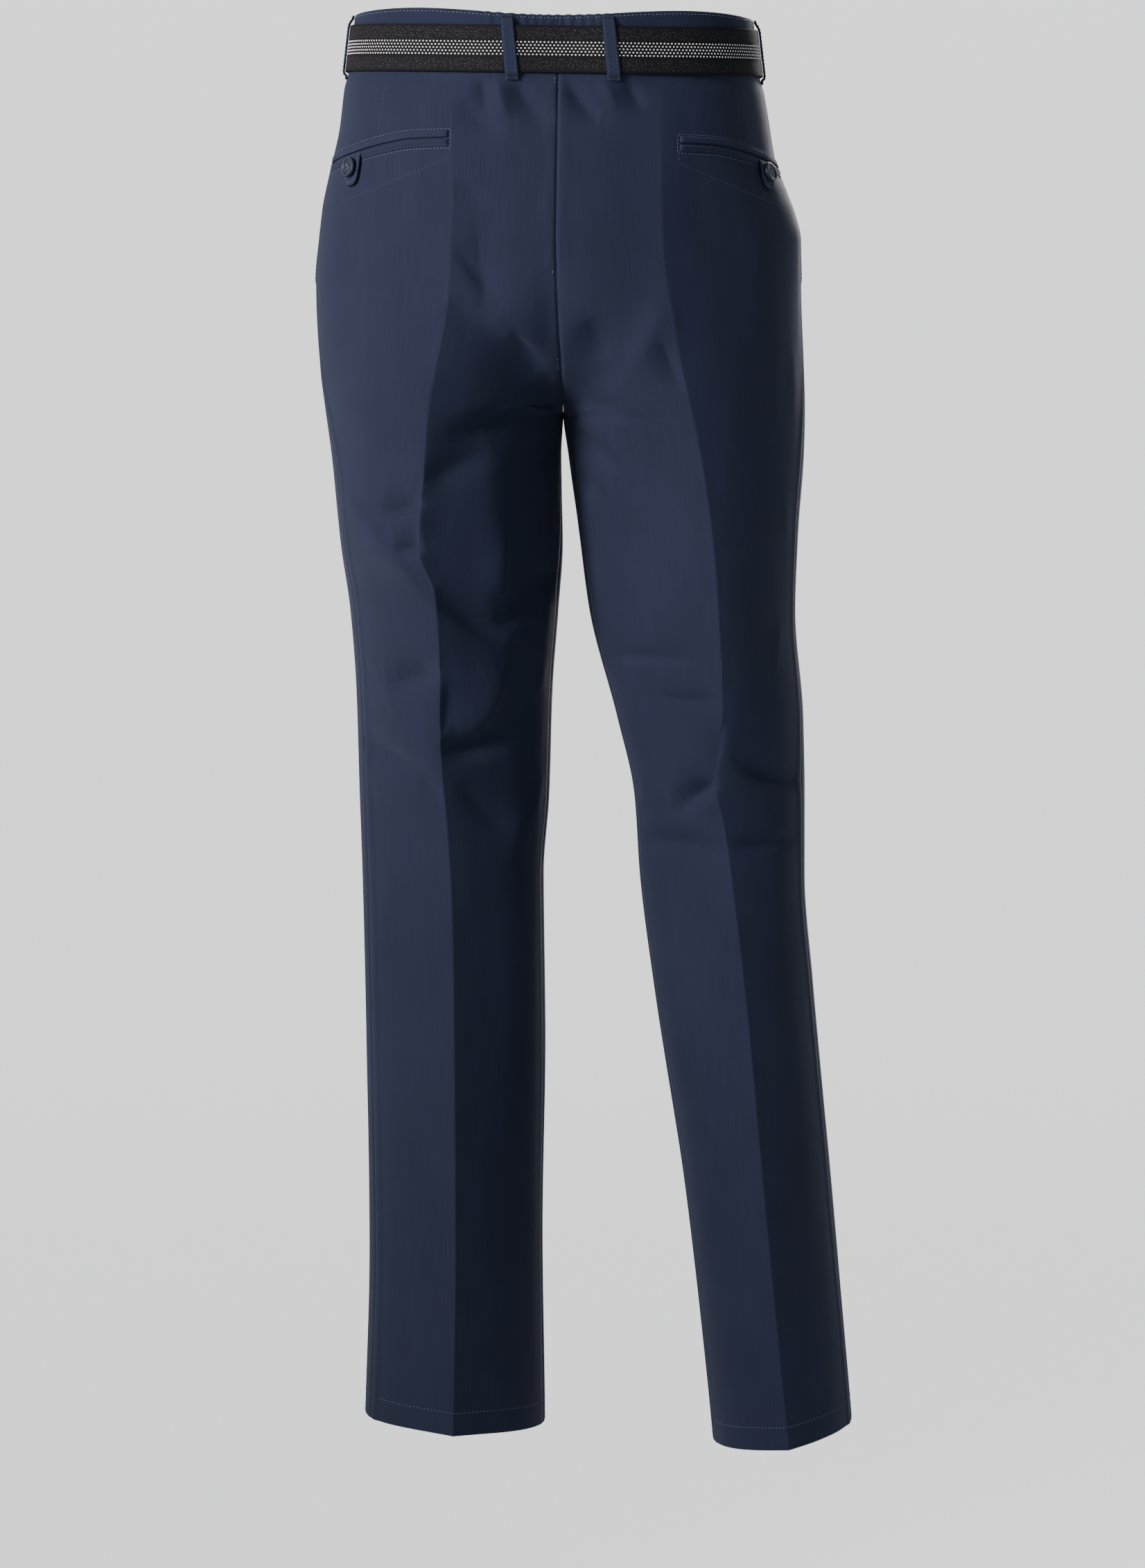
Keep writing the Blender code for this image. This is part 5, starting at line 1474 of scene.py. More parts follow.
@dataclass
class BackPocket:
    """Welt pocket with two lips, a cloth tab and its button."""

    finishes: Finishes
    half: HalfForm
    wall: float = 0.9
    columns: int = 92
    lip_rows: int = 12
    mouth: float = 0.75          # half of the gap between the lips
    lip_base: float = 0.45
    lip_rise: float = 1.35
    lip_fold: float = 0.22       # share of a lip's height that its folded edge takes
    lip_flat_end: float = 0.12   # height that is left at a lip's ends
    tab_grid: tuple[int, int] = (26, 24)
    tab_length: float = 23.0
    tab_half: float = 9.6
    tab_point: float = 0.6       # power of the tab's rounded point
    tab_lift: float = 3.1
    tab_edge: float = 1.9
    tab_stitch_top: float = 1.5
    tab_cut: Cut = Cut(0.023, 0.024, 0.00046)
    button_rise: float = 0.75
    inner_end: float = -1.6      # stitching beyond the mouth's inner end
    above: float = 1.3
    below: float = 1.1
    tack_along: float = -3.4
    tack_heights: tuple[float, float] = (6.0, 7.8)
    bag: tuple[tuple[float, float], ...] = ((-1.6, -7.0), (1.5, -15.0), (30.0, -24.3), (59.0, -29.5),
                                            (88.0, -31.5), (100.0, -32.0), (101.5, -30.0), (101.5, -9.0))
    dart_levels: tuple[float, float] = (-20.0, -53.0)

    def line(self, along: Array) -> tuple[Array, Array]:
        """Across and level of the opening at lengths from its inner end."""
        return self.half.pocket_across + along, self.half.pocket_z + POCKET_DROP.at(along)[..., 0]

    def sew(self, label: str, along: Array, height: Array | float, seam: Seam,
            thread: Material) -> None:
        """Sew on the panel along a line beside the mouth.

        Args:
            label: The piece's name without its half.
            along: Lengths from the mouth's inner end.
            height: Heights above its middle line.
            seam: The kind of stitches.
            thread: Their material.
        """
        across, level = self.line(along)
        points, normals = laid(self.half, -1, level + height, across, 0.0)
        seam.sew(f"{label}_{self.half.name}", points, normals, thread)

    def lip(self, side: int) -> None:
        """Fold one lip.

        Args:
            side: 1 for the upper one, -1 for the lower one.
        """
        share = np.linspace(0.0, 1.0, self.lip_rows + 1)[:, None]
        along = np.linspace(0.0, POCKET_WIDTH, self.columns + 1)[None, :]
        across, level = self.line(along)
        z = level + side * (self.mouth + (POCKET_OPENING / 2.0 + WELT_HEIGHT - self.mouth) * share)
        fold = np.sqrt(1.0 - (1.0 - np.clip(share / self.lip_fold, 0.0, 1.0)) ** 2)
        ditch = smooth_step(0.80, 1.0, share) * 1.1 if side > 0 else smooth_step(0.15, 1.0, share) * 0.95
        ends = self.lip_flat_end + (1.0 - self.lip_flat_end) * rolled(along / POCKET_WIDTH, 0.03)
        lift = (self.lip_base + self.lip_rise * (fold - ditch)) * ends
        points, normals = laid(self.half, -1, z, np.broadcast_to(across, z.shape), lift)
        node = f"back_pocket_{'upper' if side > 0 else 'lower'}_welt_{self.half.name}"
        make_cloth(node, points, normals, self.wall, self.finishes.trim)

    def tab(self) -> None:
        """Make the cloth tab that takes the button, with its edge stitching."""
        share = np.linspace(0.0, 1.0, self.tab_grid[0] + 1)[:, None]
        drop = POCKET_OPENING + self.tab_length * np.sin(share * math.pi / 2.0)
        half = self.tab_half * (0.12 + 0.88 * np.cos(share * math.pi / 2.0) ** self.tab_point)
        side = np.linspace(-1.0, 1.0, self.tab_grid[1] + 1)[None, :]
        across, level = self.line(TAB_ALONG + half * side)
        roll = rolled((side + 1.0) / 2.0, 0.08) * np.minimum(rolled(share / 2.0, 0.05), 1.0)
        end = np.sqrt(np.clip((1.0 - share) / 0.12, 0.0, 1.0))
        lift = self.tab_lift - 0.75 * (1.0 - roll * np.minimum(end, 1.0))
        lift = lift - 1.2 * smooth_step(0.12, 0.0, share)
        points, normals = laid(self.half, -1, level - drop, across, lift)
        piece = make_cloth("pocket_tab_" + self.half.name, points, normals, self.wall, self.finishes.trim)
        "back_panel_" + self.half.name
        angle = np.linspace(0.0, math.pi, 60)
        cosine = np.cos(angle)
        width = (self.tab_half - self.tab_edge) * np.sign(cosine) * np.abs(cosine) ** self.tab_point
        run = self.tab_length - self.tab_edge - self.tab_stitch_top
        depth = POCKET_OPENING + self.tab_stitch_top + run * np.sin(angle)
        across, level = self.line(TAB_ALONG + width)
        points, normals = laid(self.half, -1, level - depth, across, self.tab_lift)
        TAB_SEAM.sew("pocket_tab_stitches_" + self.half.name, points, normals, self.finishes.thread)

    def stitches(self) -> None:
        """Sew round the welts, tack their inner end, and sew the bag's outline and the dart."""
        reach = POCKET_OPENING / 2.0 + WELT_HEIGHT
        above, below, thread = reach + self.above, -reach - self.below, self.finishes.thread
        along = np.linspace(self.inner_end, POCKET_WIDTH, 140)
        for label, height in (("above", above), ("below", below)):
            self.sew("back_pocket_stitches_" + label, along, height, EDGE_SEAM, thread)
        height = np.linspace(below, above, 30)
        self.sew("back_pocket_stitches_end", np.full_like(height, self.inner_end), height, EDGE_SEAM, thread)
        height = np.linspace(*self.tack_heights, 5)
        self.sew("back_pocket_bartack", np.full_like(height, self.tack_along), height, POCKET_TACK,
                 self.finishes.dark_thread)
        # The bag's outline and the dart are sewn in the darker copy of the thread, which paints shade on
        # them.
        rows = np.array(self.bag)
        lengths = run_length(rows)
        places = np.linspace(0.0, lengths[-1], 200)
        along, height = (np.interp(places, lengths, rows[:, axis]) for axis in (0, 1))
        self.sew("back_pocket_bag_stitches", along, height, BAG_SEAM, self.finishes.thread_in_painted_shade)
        z = np.linspace(*self.dart_levels, 40)
        turn = self.half.turn_at_x(z, np.interp(-z, DART_DEPTHS, self.half.dart_x))
        points, normals = self.half.cloth(turn, z, -1)
        DART_SEAM.sew("dart_stitches_" + self.half.name, points, normals, self.finishes.thread_in_painted_shade)

    def button(self) -> None:
        """Sew the button on the tab."""
        across, level = self.line(np.array([TAB_ALONG]))
        lift = self.tab_lift + self.button_rise
        points, normals = laid(self.half, -1, level - TAB_BUTTON_DROP, across, lift)
        name = "pocket_button_" + self.half.name
        Button(self.finishes).build(name, points[0], normals[0], self.button_rise)

    def build(self) -> None:
        """Make the whole pocket."""
        for side in (1, -1):
            self.lip(side)
        self.tab()
        self.stitches()
        self.button()


@dataclass
class FrontPocket:
    """Doubled edge of a slanted front pocket, sewn twice."""

    finishes: Finishes
    half: HalfForm
    rows: int = 61
    columns: int = 11
    wall: float = 0.9
    top: float = 46.0
    end_z: float = -172.0
    width: float = 11.0
    foot: float = 1.5
    curve: float = 1.15
    base: float = 0.35
    lift: float = 1.55
    stitch_insets: tuple[float, float] = (2.0, 7.5)
    stitch_end: float = 0.985
    cut: Cut = Cut(0.011, 0.160, 0.00176)

    def place(self, share: Array, inset: Array) -> tuple[Array, Array]:
        """Find a place on the pocket's edge.

        Args:
            share: Shares of the way down the mouth.
            inset: Distances in from it.

        Returns:
            Levels and lengths from the centre seam.
        """
        z = BELOW_BELT_Z + (self.end_z - BELOW_BELT_Z) * share
        forward = self.foot + (self.top - self.foot) * (1.0 - share) ** self.curve
        turns = 2.0 + (2.0 + self.half.side_turn(z.ravel()))[:, None] * np.linspace(0.0, 1.0, 81)
        levels = np.broadcast_to(z.ravel()[:, None], turns.shape)
        length = run_length(self.half.bare(turns, levels, 1))[:, -1].reshape(z.shape)
        return z, length - forward - inset

    def build(self) -> None:
        """Make the edge and its two rows of stitches."""
        share, part = np.meshgrid(np.linspace(0.0, 1.0, self.rows), np.linspace(0.0, 1.0, self.columns),
                                  indexing="ij")
        z, across = self.place(share, self.width * part)
        lift = self.base + (self.lift - self.base) * rolled(part, 0.14)
        points, normals = laid(self.half, 1, z, across, lift)
        piece = make_cloth("front_pocket_edge_" + self.half.name, points, normals, self.wall,
                           self.finishes.trim)
        "front_panel_" + self.half.name
        for index, inset in enumerate(self.stitch_insets):
            share = np.linspace(0.0, self.stitch_end, 90)
            z, across = self.place(share, np.full_like(share, inset))
            points, normals = laid(self.half, 1, z, across, self.lift)
            name = f"front_pocket_stitches_{index}_{self.half.name}"
            TOP_SEAM.sew(name, points, normals, self.finishes.thread)


@dataclass
class Fly:
    """Fly flap with its J-shaped stitching, and the zip behind it."""

    finishes: Finishes
    wall: float = 1.0
    flap_grid: tuple[int, int] = (61, 25)
    width: float = 32.0
    lap: float = 8.0
    tip: float = 1.5
    end_z: float = -165.0
    curve: float = 42.0
    base: float = 0.5
    lift: float = 1.9
    stitch_steps: int = 160
    stitch_end: float = 2.5
    stitch_drop: float = 2.0
    stitch_inset: float = 2.2
    stitch_stop: float = 9.0
    zip_grid: tuple[int, int] = (50, 31)
    zip_half: float = 15.0
    zip_inside: float = 2.0
    zip_depth: float = 5.4
    zip_end_z: float = -150.0
    zip_channel: float = 0.34
    teeth_top: float = -42.0
    teeth_end: float = 6.0
    teeth_lift: float = -1.9
    tooth_pitch: float = 1.5
    tooth_size: Triple = (2.4, 0.9, 1.0)
    flap_cut: Cut = Cut(0.042, 0.147, 0.0052)
    tape_cut: Cut = Cut(0.034, 0.138, 0.0046)

    def row_points(self, z: Array, offset: Array, lift: Array | float) -> tuple[Array, Array]:
        """Place a grid on both halves' fronts.

        Args:
            z: Levels.
            offset: Distances from the centre front, minus to the wearer's left.
            lift: Heights above the cloth.

        Returns:
            Points and outward directions.
        """
        lift = np.broadcast_to(lift, z.shape)
        points, normals = np.empty(z.shape + (3,)), np.empty(z.shape + (3,))
        for half, here in ((LEFT, offset < 0.0), (RIGHT, offset >= 0.0)):
            if here.any():
                points[here], normals[here] = laid(half, 1, z[here], np.abs(offset[here]), lift[here])
        return points, normals

    def edges(self, z: Array) -> tuple[Array, Array]:
        """Find the left and the right edge of the flap.

        Args:
            z: Levels.

        Returns:
            Distances from the centre front of both edges.
        """
        into_curve = smooth_step(self.end_z + self.curve, self.end_z, z)
        left = -self.width * np.sqrt(np.maximum(1.0 - into_curve ** 2, 0.0)) - self.tip
        return left, self.lap * (1.0 - into_curve) + self.tip * into_curve

    def flap(self) -> None:
        """Make the flap and its stitches."""
        rows, columns = self.flap_grid
        share = np.linspace(0.0, 1.0, rows)[:, None]
        z = BELOW_BELT_Z + (self.end_z - BELOW_BELT_Z) * np.sin(share * math.pi / 2.0)
        left, right = self.edges(z)
        side = np.linspace(0.0, 1.0, columns)[None, :]
        offset = left + (right - left) * side
        foot = 0.4 + 0.6 * rolled(0.5 + share / 2.0, 0.03)
        lift = self.base + (self.lift - self.base) * rolled(side, 0.05) * foot
        points, normals = self.row_points(np.broadcast_to(z, offset.shape), offset, lift)
        piece = make_cloth("fly_flap", points, normals, self.wall, self.finishes.trim)
        down = np.sin(np.linspace(0.0, 1.0, self.stitch_steps) * math.pi / 2.0)
        z = BELOW_BELT_Z + (self.end_z + self.stitch_end - BELOW_BELT_Z) * down
        left = self.edges(np.minimum(z - self.stitch_drop, 0.0))[0] + self.stitch_inset
        points, normals = self.row_points(z, np.minimum(left, self.lap - self.stitch_stop), self.lift)
        TOP_SEAM.sew("fly_stitches", points, normals, self.finishes.thread)

    def zip(self) -> None:
        """Make the tape and the teeth, and finish the slider and the pull."""
        rows, columns = self.zip_grid
        z = np.linspace(WAIST_SEAM_Z - self.zip_inside, self.zip_end_z, rows)[:, None]
        side = np.linspace(-1.0, 1.0, columns)[None, :]
        sink = self.zip_depth * smooth_step(1.0, self.zip_channel, np.abs(side))
        offset = np.broadcast_to(self.zip_half * side, self.zip_grid)
        levels = np.broadcast_to(z, self.zip_grid)
        lift = np.broadcast_to(-self.zip_inside - sink, self.zip_grid)
        points, normals = self.row_points(levels, offset, lift)
        piece = make_cloth("fly_zip_tape", points, normals, self.wall, self.finishes.tape)
        z = np.arange(self.teeth_top, self.zip_end_z + self.teeth_end, -self.tooth_pitch)
        for column, offset in enumerate((-1.0, 1.0)):
            levels = z - self.tooth_pitch / 2.0 * column
            lift = self.teeth_lift - self.zip_depth
            points, normals = self.row_points(levels, np.full_like(z, offset), lift)
            across = np.cross(normals, np.array([0.0, 0.0, 1.0]))
            teeth = scatter(f"zip_teeth_{column}", points, across, normals, self.tooth_size)
            dress(teeth, self.finishes.brass)
        for name in ("fly_zip_slider", "fly_zip_pull"):
            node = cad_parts[name]
            node.data.materials.clear()
            node.data.materials.append(self.finishes.brass)

    def build(self) -> None:
        """Make the flap, the zip and the waist button."""
        self.flap()
        self.zip()
        outward = RING.outward(np.array(0.0))
        outward[2] = WAIST_FLARE
        seat = RING.point(0.0, 0.4, 4.0)
        Button(self.finishes, thickness=2.2, dish=0.6, edge=0.6).build("waist_button", seat, outward, 0.5)


# ---------------------------------------------------------------- the waist
@dataclass
class Waistband:
    """Two folded strips of cloth round the waist, sewn together at the back."""

    finishes: Finishes
    wall: float = 0.85
    steps: tuple[int, int] = (200, 206)
    rows: int = 13
    fold: float = 1.5           # radius of the folded top edge
    fold_steps: int = 8
    stitch_drop: float = 2.4
    ripple: float = 0.85
    ripple_pitch: float = 7.6
    ripple_from: float = -66.0
    ripple_to: float = 50.0
    ripple_fade: float = 18.0
    top_ripple: float = 0.35
    cut: Cut = Cut(0.46, 0.076, 0.0335)

    def top(self, s: Array) -> Array:
        """Find the height of the top edge, which stands up on both sides of the back.

        Args:
            s: Lengths round the waist.

        Returns:
            Heights.
        """
        quarter = RING.girth / 4.0
        back = (s > quarter) & (s < 3.0 * quarter)
        crown = WAISTBAND_CROWN * np.sin(math.pi * (s - quarter) / quarter) ** 2
        return WAISTBAND_TOP_Z + np.where(back, crown, 0.0) + self.top_ripple * self.gathers(s + 1.3)

    def gathers(self, s: Array) -> Array:
        """Find the ripples of the elastic at the middle of the back.

        Args:
            s: Lengths round the waist.

        Returns:
            Heights between -1 and 1.
        """
        beside = s - RING.centre_back
        reach = smooth_step(self.ripple_from, self.ripple_from + self.ripple_fade, beside)
        reach = reach * smooth_step(self.ripple_to, self.ripple_to - self.ripple_fade, beside)
        wander = 1.9 * np.sin(beside / 17.0) + 1.1 * np.sin(beside / 7.3 + 2.0)
        return reach * np.sin(beside * math.tau / self.ripple_pitch + wander)

    def half(self, name: str, s: Array, out: Array) -> None:
        """Fold one half and sew along its top.

        Args:
            name: "left" or "right".
            s: Lengths round the waist of its columns.
            out: Its distance outside the ring at each.
        """
        top, ripples = self.top(s), self.ripple * self.gathers(s)
        up = np.linspace(0.0, 1.0, self.rows)[:, None]
        outside_z = WAIST_SEAM_Z + (top - self.fold - WAIST_SEAM_Z) * up
        outside_out = out + ripples * smooth_step(0.0, 0.4, up)
        angle = np.linspace(0.0, math.pi, self.fold_steps)[1:-1, None]
        top_z = top - self.fold + self.fold * np.sin(angle)
        top_out = out - self.fold * (1.0 - np.cos(angle)) + ripples
        z = np.vstack([outside_z, top_z, outside_z[::-1]])
        outs = np.vstack([outside_out, top_out, outside_out[::-1] - 2.0 * self.fold])
        points = RING.point(np.broadcast_to(s, z.shape), outs, z)
        away = np.broadcast_to(RING.outward(s), points.shape)
        wall, level = np.ones(self.rows), np.zeros(self.rows)
        facing = np.concatenate([wall, np.cos(angle[:, 0]), -wall])[:, None, None]
        upward = np.concatenate([level, np.sin(angle[:, 0]), level])[:, None, None]
        outward = away * facing + np.array([0.0, 0.0, 1.0]) * upward
        piece = make_cloth("waistband_" + name, points, outward, self.wall, self.finishes.navy)
        line = RING.point(s, out + ripples, top - self.stitch_drop)
        WAIST_SEAM.sew(f"waistband_stitches_{name}", line, RING.outward(s), self.finishes.thread)

    def build(self) -> None:
        """Make both halves. The left end laps over the right one."""
        seam = SEAM_GAP / 2.0
        left = np.linspace(-WAISTBAND_LAP, RING.centre_back - seam, self.steps[0])
        self.half("left", left, np.zeros_like(left))
        right = np.linspace(RING.centre_back + seam, RING.girth + WAISTBAND_UNDERLAP, self.steps[1])
        lap_start = RING.girth - WAISTBAND_LAP - 1.0
        under = -(WAISTBAND_WALL + SEAM_GAP) * smooth_step(lap_start - LAP_DIP, lap_start, right)
        self.half("right", right, under)


@dataclass
class Belt:
    """Webbing strap with five rows of woven dots, and its box buckle."""

    finishes: Finishes
    steps: int = 460
    dot_rows: tuple[float, ...] = (4.9, 2.6, 0.3, -2.0, -4.3)
    dot_pitch: float = 2.9
    dot_size: Triple = (1.7, 1.4, 0.5)
    dot_lift: float = 0.05
    dot_margin: float = 3.0
    rounding: float = 0.75
    rounding_steps: int = 5
    buckle_radius: float = 2.0
    buckle_steps: int = 29
    corner_steps: int = 7
    buckle_bevel: float = 0.35

    def out(self, s: Array) -> Array:
        """Find the outside of the strap, which starts in the buckle and goes through it again.

        Args:
            s: Lengths round the waist, past the girth for the tail.

        Returns:
            Distances outside the ring.
        """
        half = BUCKLE_LENGTH / 2.0
        first = BELT_GAP + BELT_THICK
        second = first + BELT_LAYER_GAP + BELT_THICK
        inside = BUCKLE_STANDOFF + BUCKLE_WALL + BUCKLE_CLEAR + BELT_THICK
        inside_second = inside + BELT_LAYER_GAP + BELT_THICK
        leaving = smooth_step(half + BELT_RISE, half, s)
        nearing = smooth_step(RING.girth - half - BELT_RISE, RING.girth - half, s)
        beyond = smooth_step(RING.girth + half + BELT_RISE, RING.girth + half, s)
        start = first + (inside - first) * leaving
        round_again = first + (inside_second - first) * nearing
        tail = second + (inside_second - second) * beyond
        return np.where(s < RING.girth / 2.0, start, np.where(s < RING.girth, round_again, tail))

    def strap(self) -> None:
        """Weave the strap."""
        s = np.linspace(BELT_START, RING.girth + BELT_TAIL, self.steps)
        half = BELT_HEIGHT / 2.0
        corner = np.linspace(0.0, 1.0, self.rounding_steps)
        edge = np.concatenate([half - self.rounding * corner ** 2, [half * 0.75, half * 0.4, 0.0]])
        edge_out = np.concatenate([self.rounding * (corner ** 0.5 - 1.0), [0.0, 0.0, 0.0]])
        z = np.concatenate([edge, -edge[-2::-1]])[:, None]
        dip = np.concatenate([edge_out, edge_out[-2::-1]])[:, None]
        points = RING.point(np.broadcast_to(s, (len(z), len(s))), self.out(s) + dip, z)
        outward = np.broadcast_to(RING.outward(s), points.shape)
        flat = np.stack(np.broadcast_arrays(s[None, :], z), -1)
        piece = thicken(lay_grid("belt_webbing", points, outward, flat), BELT_THICK)
        dress(piece, self.finishes.webbing, ("belt_strap",))

    def dots(self) -> None:
        """Raise the dots of the middle band, every other row half a pitch along."""
        for row, height in enumerate(self.dot_rows):
            start = BELT_START + self.dot_margin + self.dot_pitch * (0.5 if row % 2 else 0.0)
            s = np.arange(start, RING.girth + BELT_TAIL - self.dot_margin, self.dot_pitch)
            points = RING.point(s, self.out(s) + self.dot_lift, height)
            ahead = RING.point(s + 0.5, self.out(s + 0.5), height) - points
            piece = scatter(f"belt_dots_{row}", points, ahead, RING.outward(s), self.dot_size)
            dress(piece, self.finishes.dots)

    def buckle(self) -> None:
        """Bend the buckle's sleeve, with rounded corners."""
        layers = 2.0 * BELT_THICK + BELT_LAYER_GAP + 2.0 * BUCKLE_CLEAR
        low, high = BUCKLE_STANDOFF, BUCKLE_STANDOFF + layers + 2.0 * BUCKLE_WALL
        radius = self.buckle_radius
        top = BELT_HEIGHT / 2.0 + BUCKLE_CLEAR + BUCKLE_WALL - radius
        ring = []
        for centre_out, centre_z, start in ((high - radius, top, 0.0), (low + radius, top, 90.0),
                                            (low + radius, -top, 180.0), (high - radius, -top, 270.0)):
            for angle in np.radians(np.linspace(start, start + 90.0, self.corner_steps)):
                ring.append((centre_out + radius * math.cos(angle), centre_z + radius * math.sin(angle)))
        ring.append(ring[0])
        outs, z = np.array(ring).T
        s = np.linspace(-BUCKLE_LENGTH / 2.0, BUCKLE_LENGTH / 2.0, self.buckle_steps)
        points = RING.point(s[None, :], outs[:, None], z[:, None])
        centre = RING.point(s, (low + high) / 2.0, 0.0)
        piece = lay_grid("belt_buckle_sleeve", points, points - centre)
        weld(piece)
        thicken(piece, BUCKLE_WALL)
        soft = piece.modifiers.new("soft_edges", "BEVEL")
        soft.width, soft.segments, soft.limit_method = self.buckle_bevel * MM, 2, "ANGLE"
        dress(piece, self.finishes.steel, ("belt_buckle",))

    def build(self) -> None:
        """Make the strap, its dots and the buckle."""
        self.strap()
        self.dots()
        self.buckle()


@dataclass
class BeltLoop:
    """Folded strip that stands over the belt, sewn along both edges and tacked at its foot."""

    finishes: Finishes
    name: str
    along: float
    lean: float = 0.0
    width: float = 9.4
    columns: int = 17
    wall: float = 1.45
    thick: float = 1.6
    top_z: float = 25.0
    foot_z: float = -23.0
    gap: float = 0.35
    head: float = 2.6
    foot: float = 3.2
    stitch_inset: float = 1.7
    tack_margin: float = 1.2
    edge_dent: float = 0.55
    middle_dent: float = 0.12

    def swell(self, z: float) -> float:
        """Find how far the panels stand out under the loop.

        Args:
            z: A level.

        Returns:
            Distance outside the waist's ring.
        """
        along = self.along + self.lean
        here, away = RING.on_ring(np.array(along)), RING.outward(np.array(along))[:2]
        forward = np.array([-away[1], away[0]])
        turns = np.linspace(0.0, LAST_TURN, 600)
        outs = []
        for half in HALVES:
            for face, part in ((-1, turns[turns <= 2.0]), (1, turns[turns > 2.0])):
                points, _ = half.cloth(part, np.full_like(part, z), face)
                offset = points[:, :2] - here
                near = np.abs(offset @ forward) < self.width / 2.0
                outs += list((offset @ away)[near])
        return max(value for value in outs if value > -20.0) + WAIST_FLARE * z

    def path(self) -> Array:
        """Middle line of its inner side as (out, z), rounded at its bends."""
        clear = BELT_GAP + BELT_THICK + self.gap
        highest = BELT_HEIGHT / 2.0
        feet = [self.swell(z) + self.gap for z in (self.foot_z + self.foot, self.foot_z)]
        bends = np.array([(self.gap, self.top_z), (self.gap, self.top_z - self.head),
                          (clear - 0.6, highest + 2.0), (clear, highest - 1.0), (clear, 1.0 - highest),
                          (clear - 0.2, -highest - 0.8), (max(feet[0], self.gap), self.foot_z + self.foot),
                          (feet[1], self.foot_z)])
        lengths = run_length(bends)
        places = np.linspace(0.0, lengths[-1], 64)
        line = np.stack([np.interp(places, lengths, bends[:, axis]) for axis in (0, 1)], -1)
        for _ in range(3):
            line[1:-1] = 0.25 * line[:-2] + 0.5 * line[1:-1] + 0.25 * line[2:]
        return line

    def build(self) -> None:
        """Make the loop, its edge stitches and its tacks."""
        line = self.path()
        tangent = np.gradient(line, axis=0)
        normal = unit(np.stack([-tangent[:, 1], tangent[:, 0]], -1))
        outer = line + normal * self.thick
        share = np.linspace(0.0, 1.0, self.columns)
        shift = self.along + self.lean * (self.top_z - outer[:, 1]) / (self.top_z - self.foot_z)
        s = shift[:, None] + self.width * (share - 0.5)[None, :]
        dent = self.edge_dent * (1.0 - rolled(share, 0.12)) + self.middle_dent * bell(share - 0.5, 0.22)
        points = RING.point(s, outer[:, :1] - normal[:, :1] * dent, outer[:, 1:] - normal[:, 1:] * dent)
        outward = RING.outward(s) * normal[:, :1, None]
        outward[..., 2] += normal[:, 1:]
        middle = outward[:, self.columns // 2]
        node = "belt_loop_" + self.name
        make_cloth(node, points, outward, self.wall, self.finishes.trim)
        # The edge rows are sewn in the darker copy of the thread, which paints shade on them.
        for side, label in ((-1, "left"), (1, "right")):
            place = shift + side * (self.width / 2.0 - self.stitch_inset)
            row = RING.point(place, outer[:, 0], outer[:, 1])
            EDGE_SEAM.sew(f"{node}_stitches_{label}", row, middle, self.finishes.thread_in_painted_shade)
        for end, index in (("head", 3), ("foot", -4)):
            across = np.linspace(-0.5, 0.5, 12) * (self.width - self.tack_margin)
            row = RING.point(shift[index] + across, outer[index, 0] + 0.05, outer[index, 1])
            facing = np.broadcast_to(middle[index], row.shape)
            LOOP_TACK.sew(f"{node}_tack_{end}", row, facing, self.finishes.dark_thread)


def belt_loops(finishes: Finishes) -> list[BeltLoop]:
    """Place the six loops round the waist.

    Args:
        finishes: The scene's materials.

    Returns:
        The loops, not yet made.
    """
    return [BeltLoop(finishes, "back_left", RING.along_at_x(-37.0, -1), 4.5),
            BeltLoop(finishes, "back_right", RING.along_at_x(38.0, -1), 4.2),
            BeltLoop(finishes, "front_left", RING.along_at_x(-84.0, 1)),
            BeltLoop(finishes, "front_right", RING.along_at_x(82.0, 1)),
            BeltLoop(finishes, "side_left", RING.side_left + 4.0),
            BeltLoop(finishes, "side_right", RING.side_right - 4.0)]


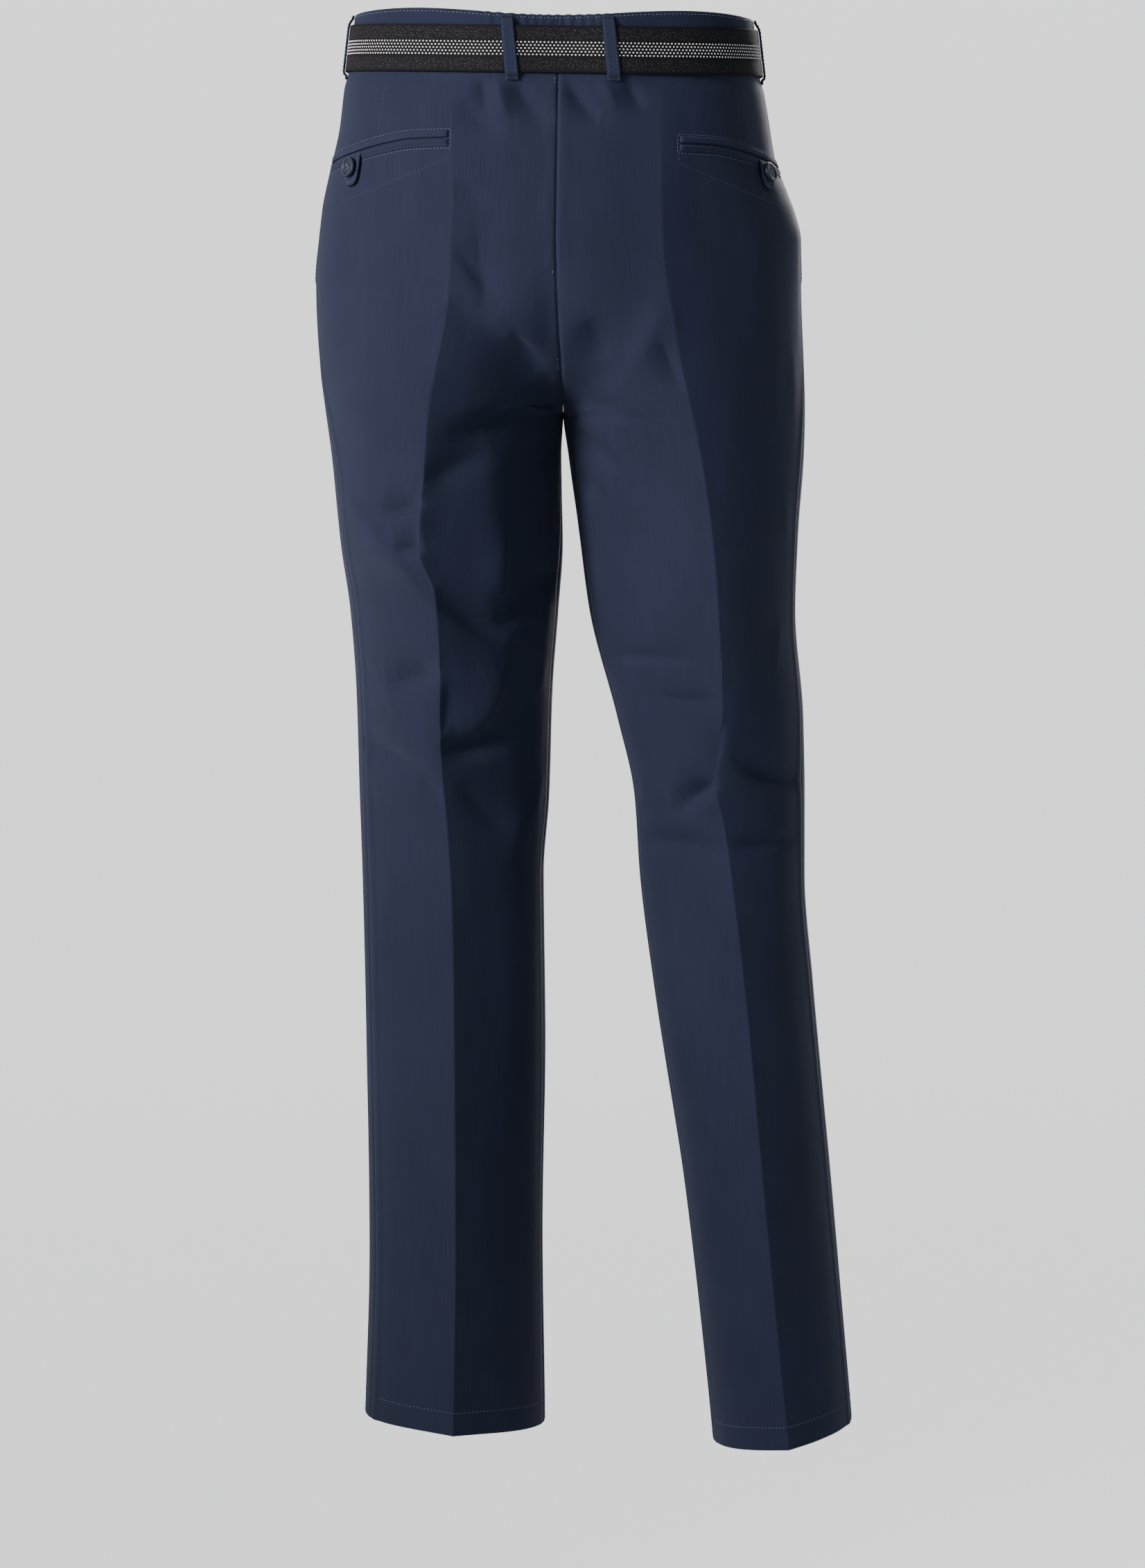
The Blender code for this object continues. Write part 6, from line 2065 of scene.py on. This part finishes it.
# ---------------------------------------------------------------- the studio
@dataclass
class Studio:
    """Round pale room with one floor, soft lights and the camera, in metres."""

    finishes: Finishes
    floor_z: float = -1.5
    radius: float = 9.6
    bend: float = 3.0
    bend_steps: int = 12
    wall_steps: int = 96
    height: float = 7.0
    camera_place: Triple = (0.012, -5.0, -0.20)
    camera_tilt: float = 85.97
    lens: float = 151.13
    light_aim: Triple = (0.0, 0.0, -0.14)
    light_size: tuple[float, float] = (1.1, 1.4)
    light_spread: float = 34.0
    key_place: Triple = (-2.41, -2.02, 0.90)
    key_tint: Colour = (1.0, 0.88, 0.88)
    key_power: float = 30.0
    far_place: Triple = (0.95, 3.05, 0.95)
    far_tint: Colour = (1.0, 0.90, 0.90)
    far_power: float = 17.0
    air: Colour = (0.93, 0.95, 1.0)
    air_strength: float = 0.5

    def build(self) -> None:
        """Make everything round the trousers."""
        self.backdrop()
        self.light("key", self.key_place, self.key_power, self.key_tint)
        self.light("far_side", self.far_place, self.far_power, self.far_tint)
        self.world()
        self.camera()

    def backdrop(self) -> None:
        """Floor that bends up into the wall all round, spun from its half section."""
        flat = self.radius - self.bend
        ring = [(0.0, self.floor_z)]
        ring += [(flat + self.bend * math.sin(angle), self.floor_z + self.bend * (1.0 - math.cos(angle)))
                 for angle in np.linspace(0.0, math.pi / 2.0, self.bend_steps)]
        ring.append((self.radius, self.floor_z + self.height))
        shape = turn_profile(ring, self.wall_steps, 0.0001)
        bmesh.ops.reverse_faces(shape, faces=shape.faces[:])
        piece = new_piece("studio_room", take_mesh(shape, "studio_room"))
        piece.data.materials.append(self.finishes.paper)

    def light(self, name: str, place: Triple, power: float, tint: Colour) -> None:
        """Hang one soft rectangular light.

        Args:
            name: Its name.
            place: Where it hangs.
            power: Watts.
            tint: Its colour.
        """
        lamp = bpy.data.lights.new(name + "_light", "AREA")
        lamp.shape = "RECTANGLE"
        lamp.size, lamp.size_y = self.light_size
        lamp.energy = power
        lamp.color = tint
        lamp.spread = math.radians(self.light_spread)
        holder = bpy.data.objects.new(name + "_light", lamp)
        holder.location = place
        aim = Vector(self.light_aim) - Vector(place)
        holder.rotation_euler = aim.to_track_quat("-Z", "Y").to_euler()
        holder.visible_camera = False
        bpy.context.scene.collection.objects.link(holder)

    def world(self) -> None:
        """Even pale surroundings."""
        world = bpy.data.worlds.new("studio_air")
        world.use_nodes = True
        background = world.node_tree.nodes["Background"]
        background.inputs["Color"].default_value = (*self.air, 1.0)
        background.inputs["Strength"].default_value = self.air_strength
        bpy.context.scene.world = world

    def camera(self) -> None:
        """Camera at the viewing angle."""
        data = bpy.data.cameras.new("camera")
        data.lens = self.lens
        data.sensor_width = 36.0
        data.clip_end = 60.0
        holder = bpy.data.objects.new("camera", data)
        holder.location = self.camera_place
        holder.rotation_euler = (math.radians(self.camera_tilt), 0.0, 0.0)
        bpy.context.scene.collection.objects.link(holder)
        bpy.context.scene.camera = holder


def main() -> None:
    """Build every sub-assembly in order."""
    logging.basicConfig(level=logging.INFO, format="%(name)s: %(message)s")
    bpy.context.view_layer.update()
    finishes = Finishes()
    Studio(finishes).build()
    Panels(finishes).build()
    for half in HALVES:
        BackPocket(finishes, half).build()
        FrontPocket(finishes, half).build()
    Fly(finishes).build()
    Waistband(finishes).build()
    Belt(finishes).build()
    for loop in belt_loops(finishes):
        loop.build()


if __name__ == "__main__":
    main()
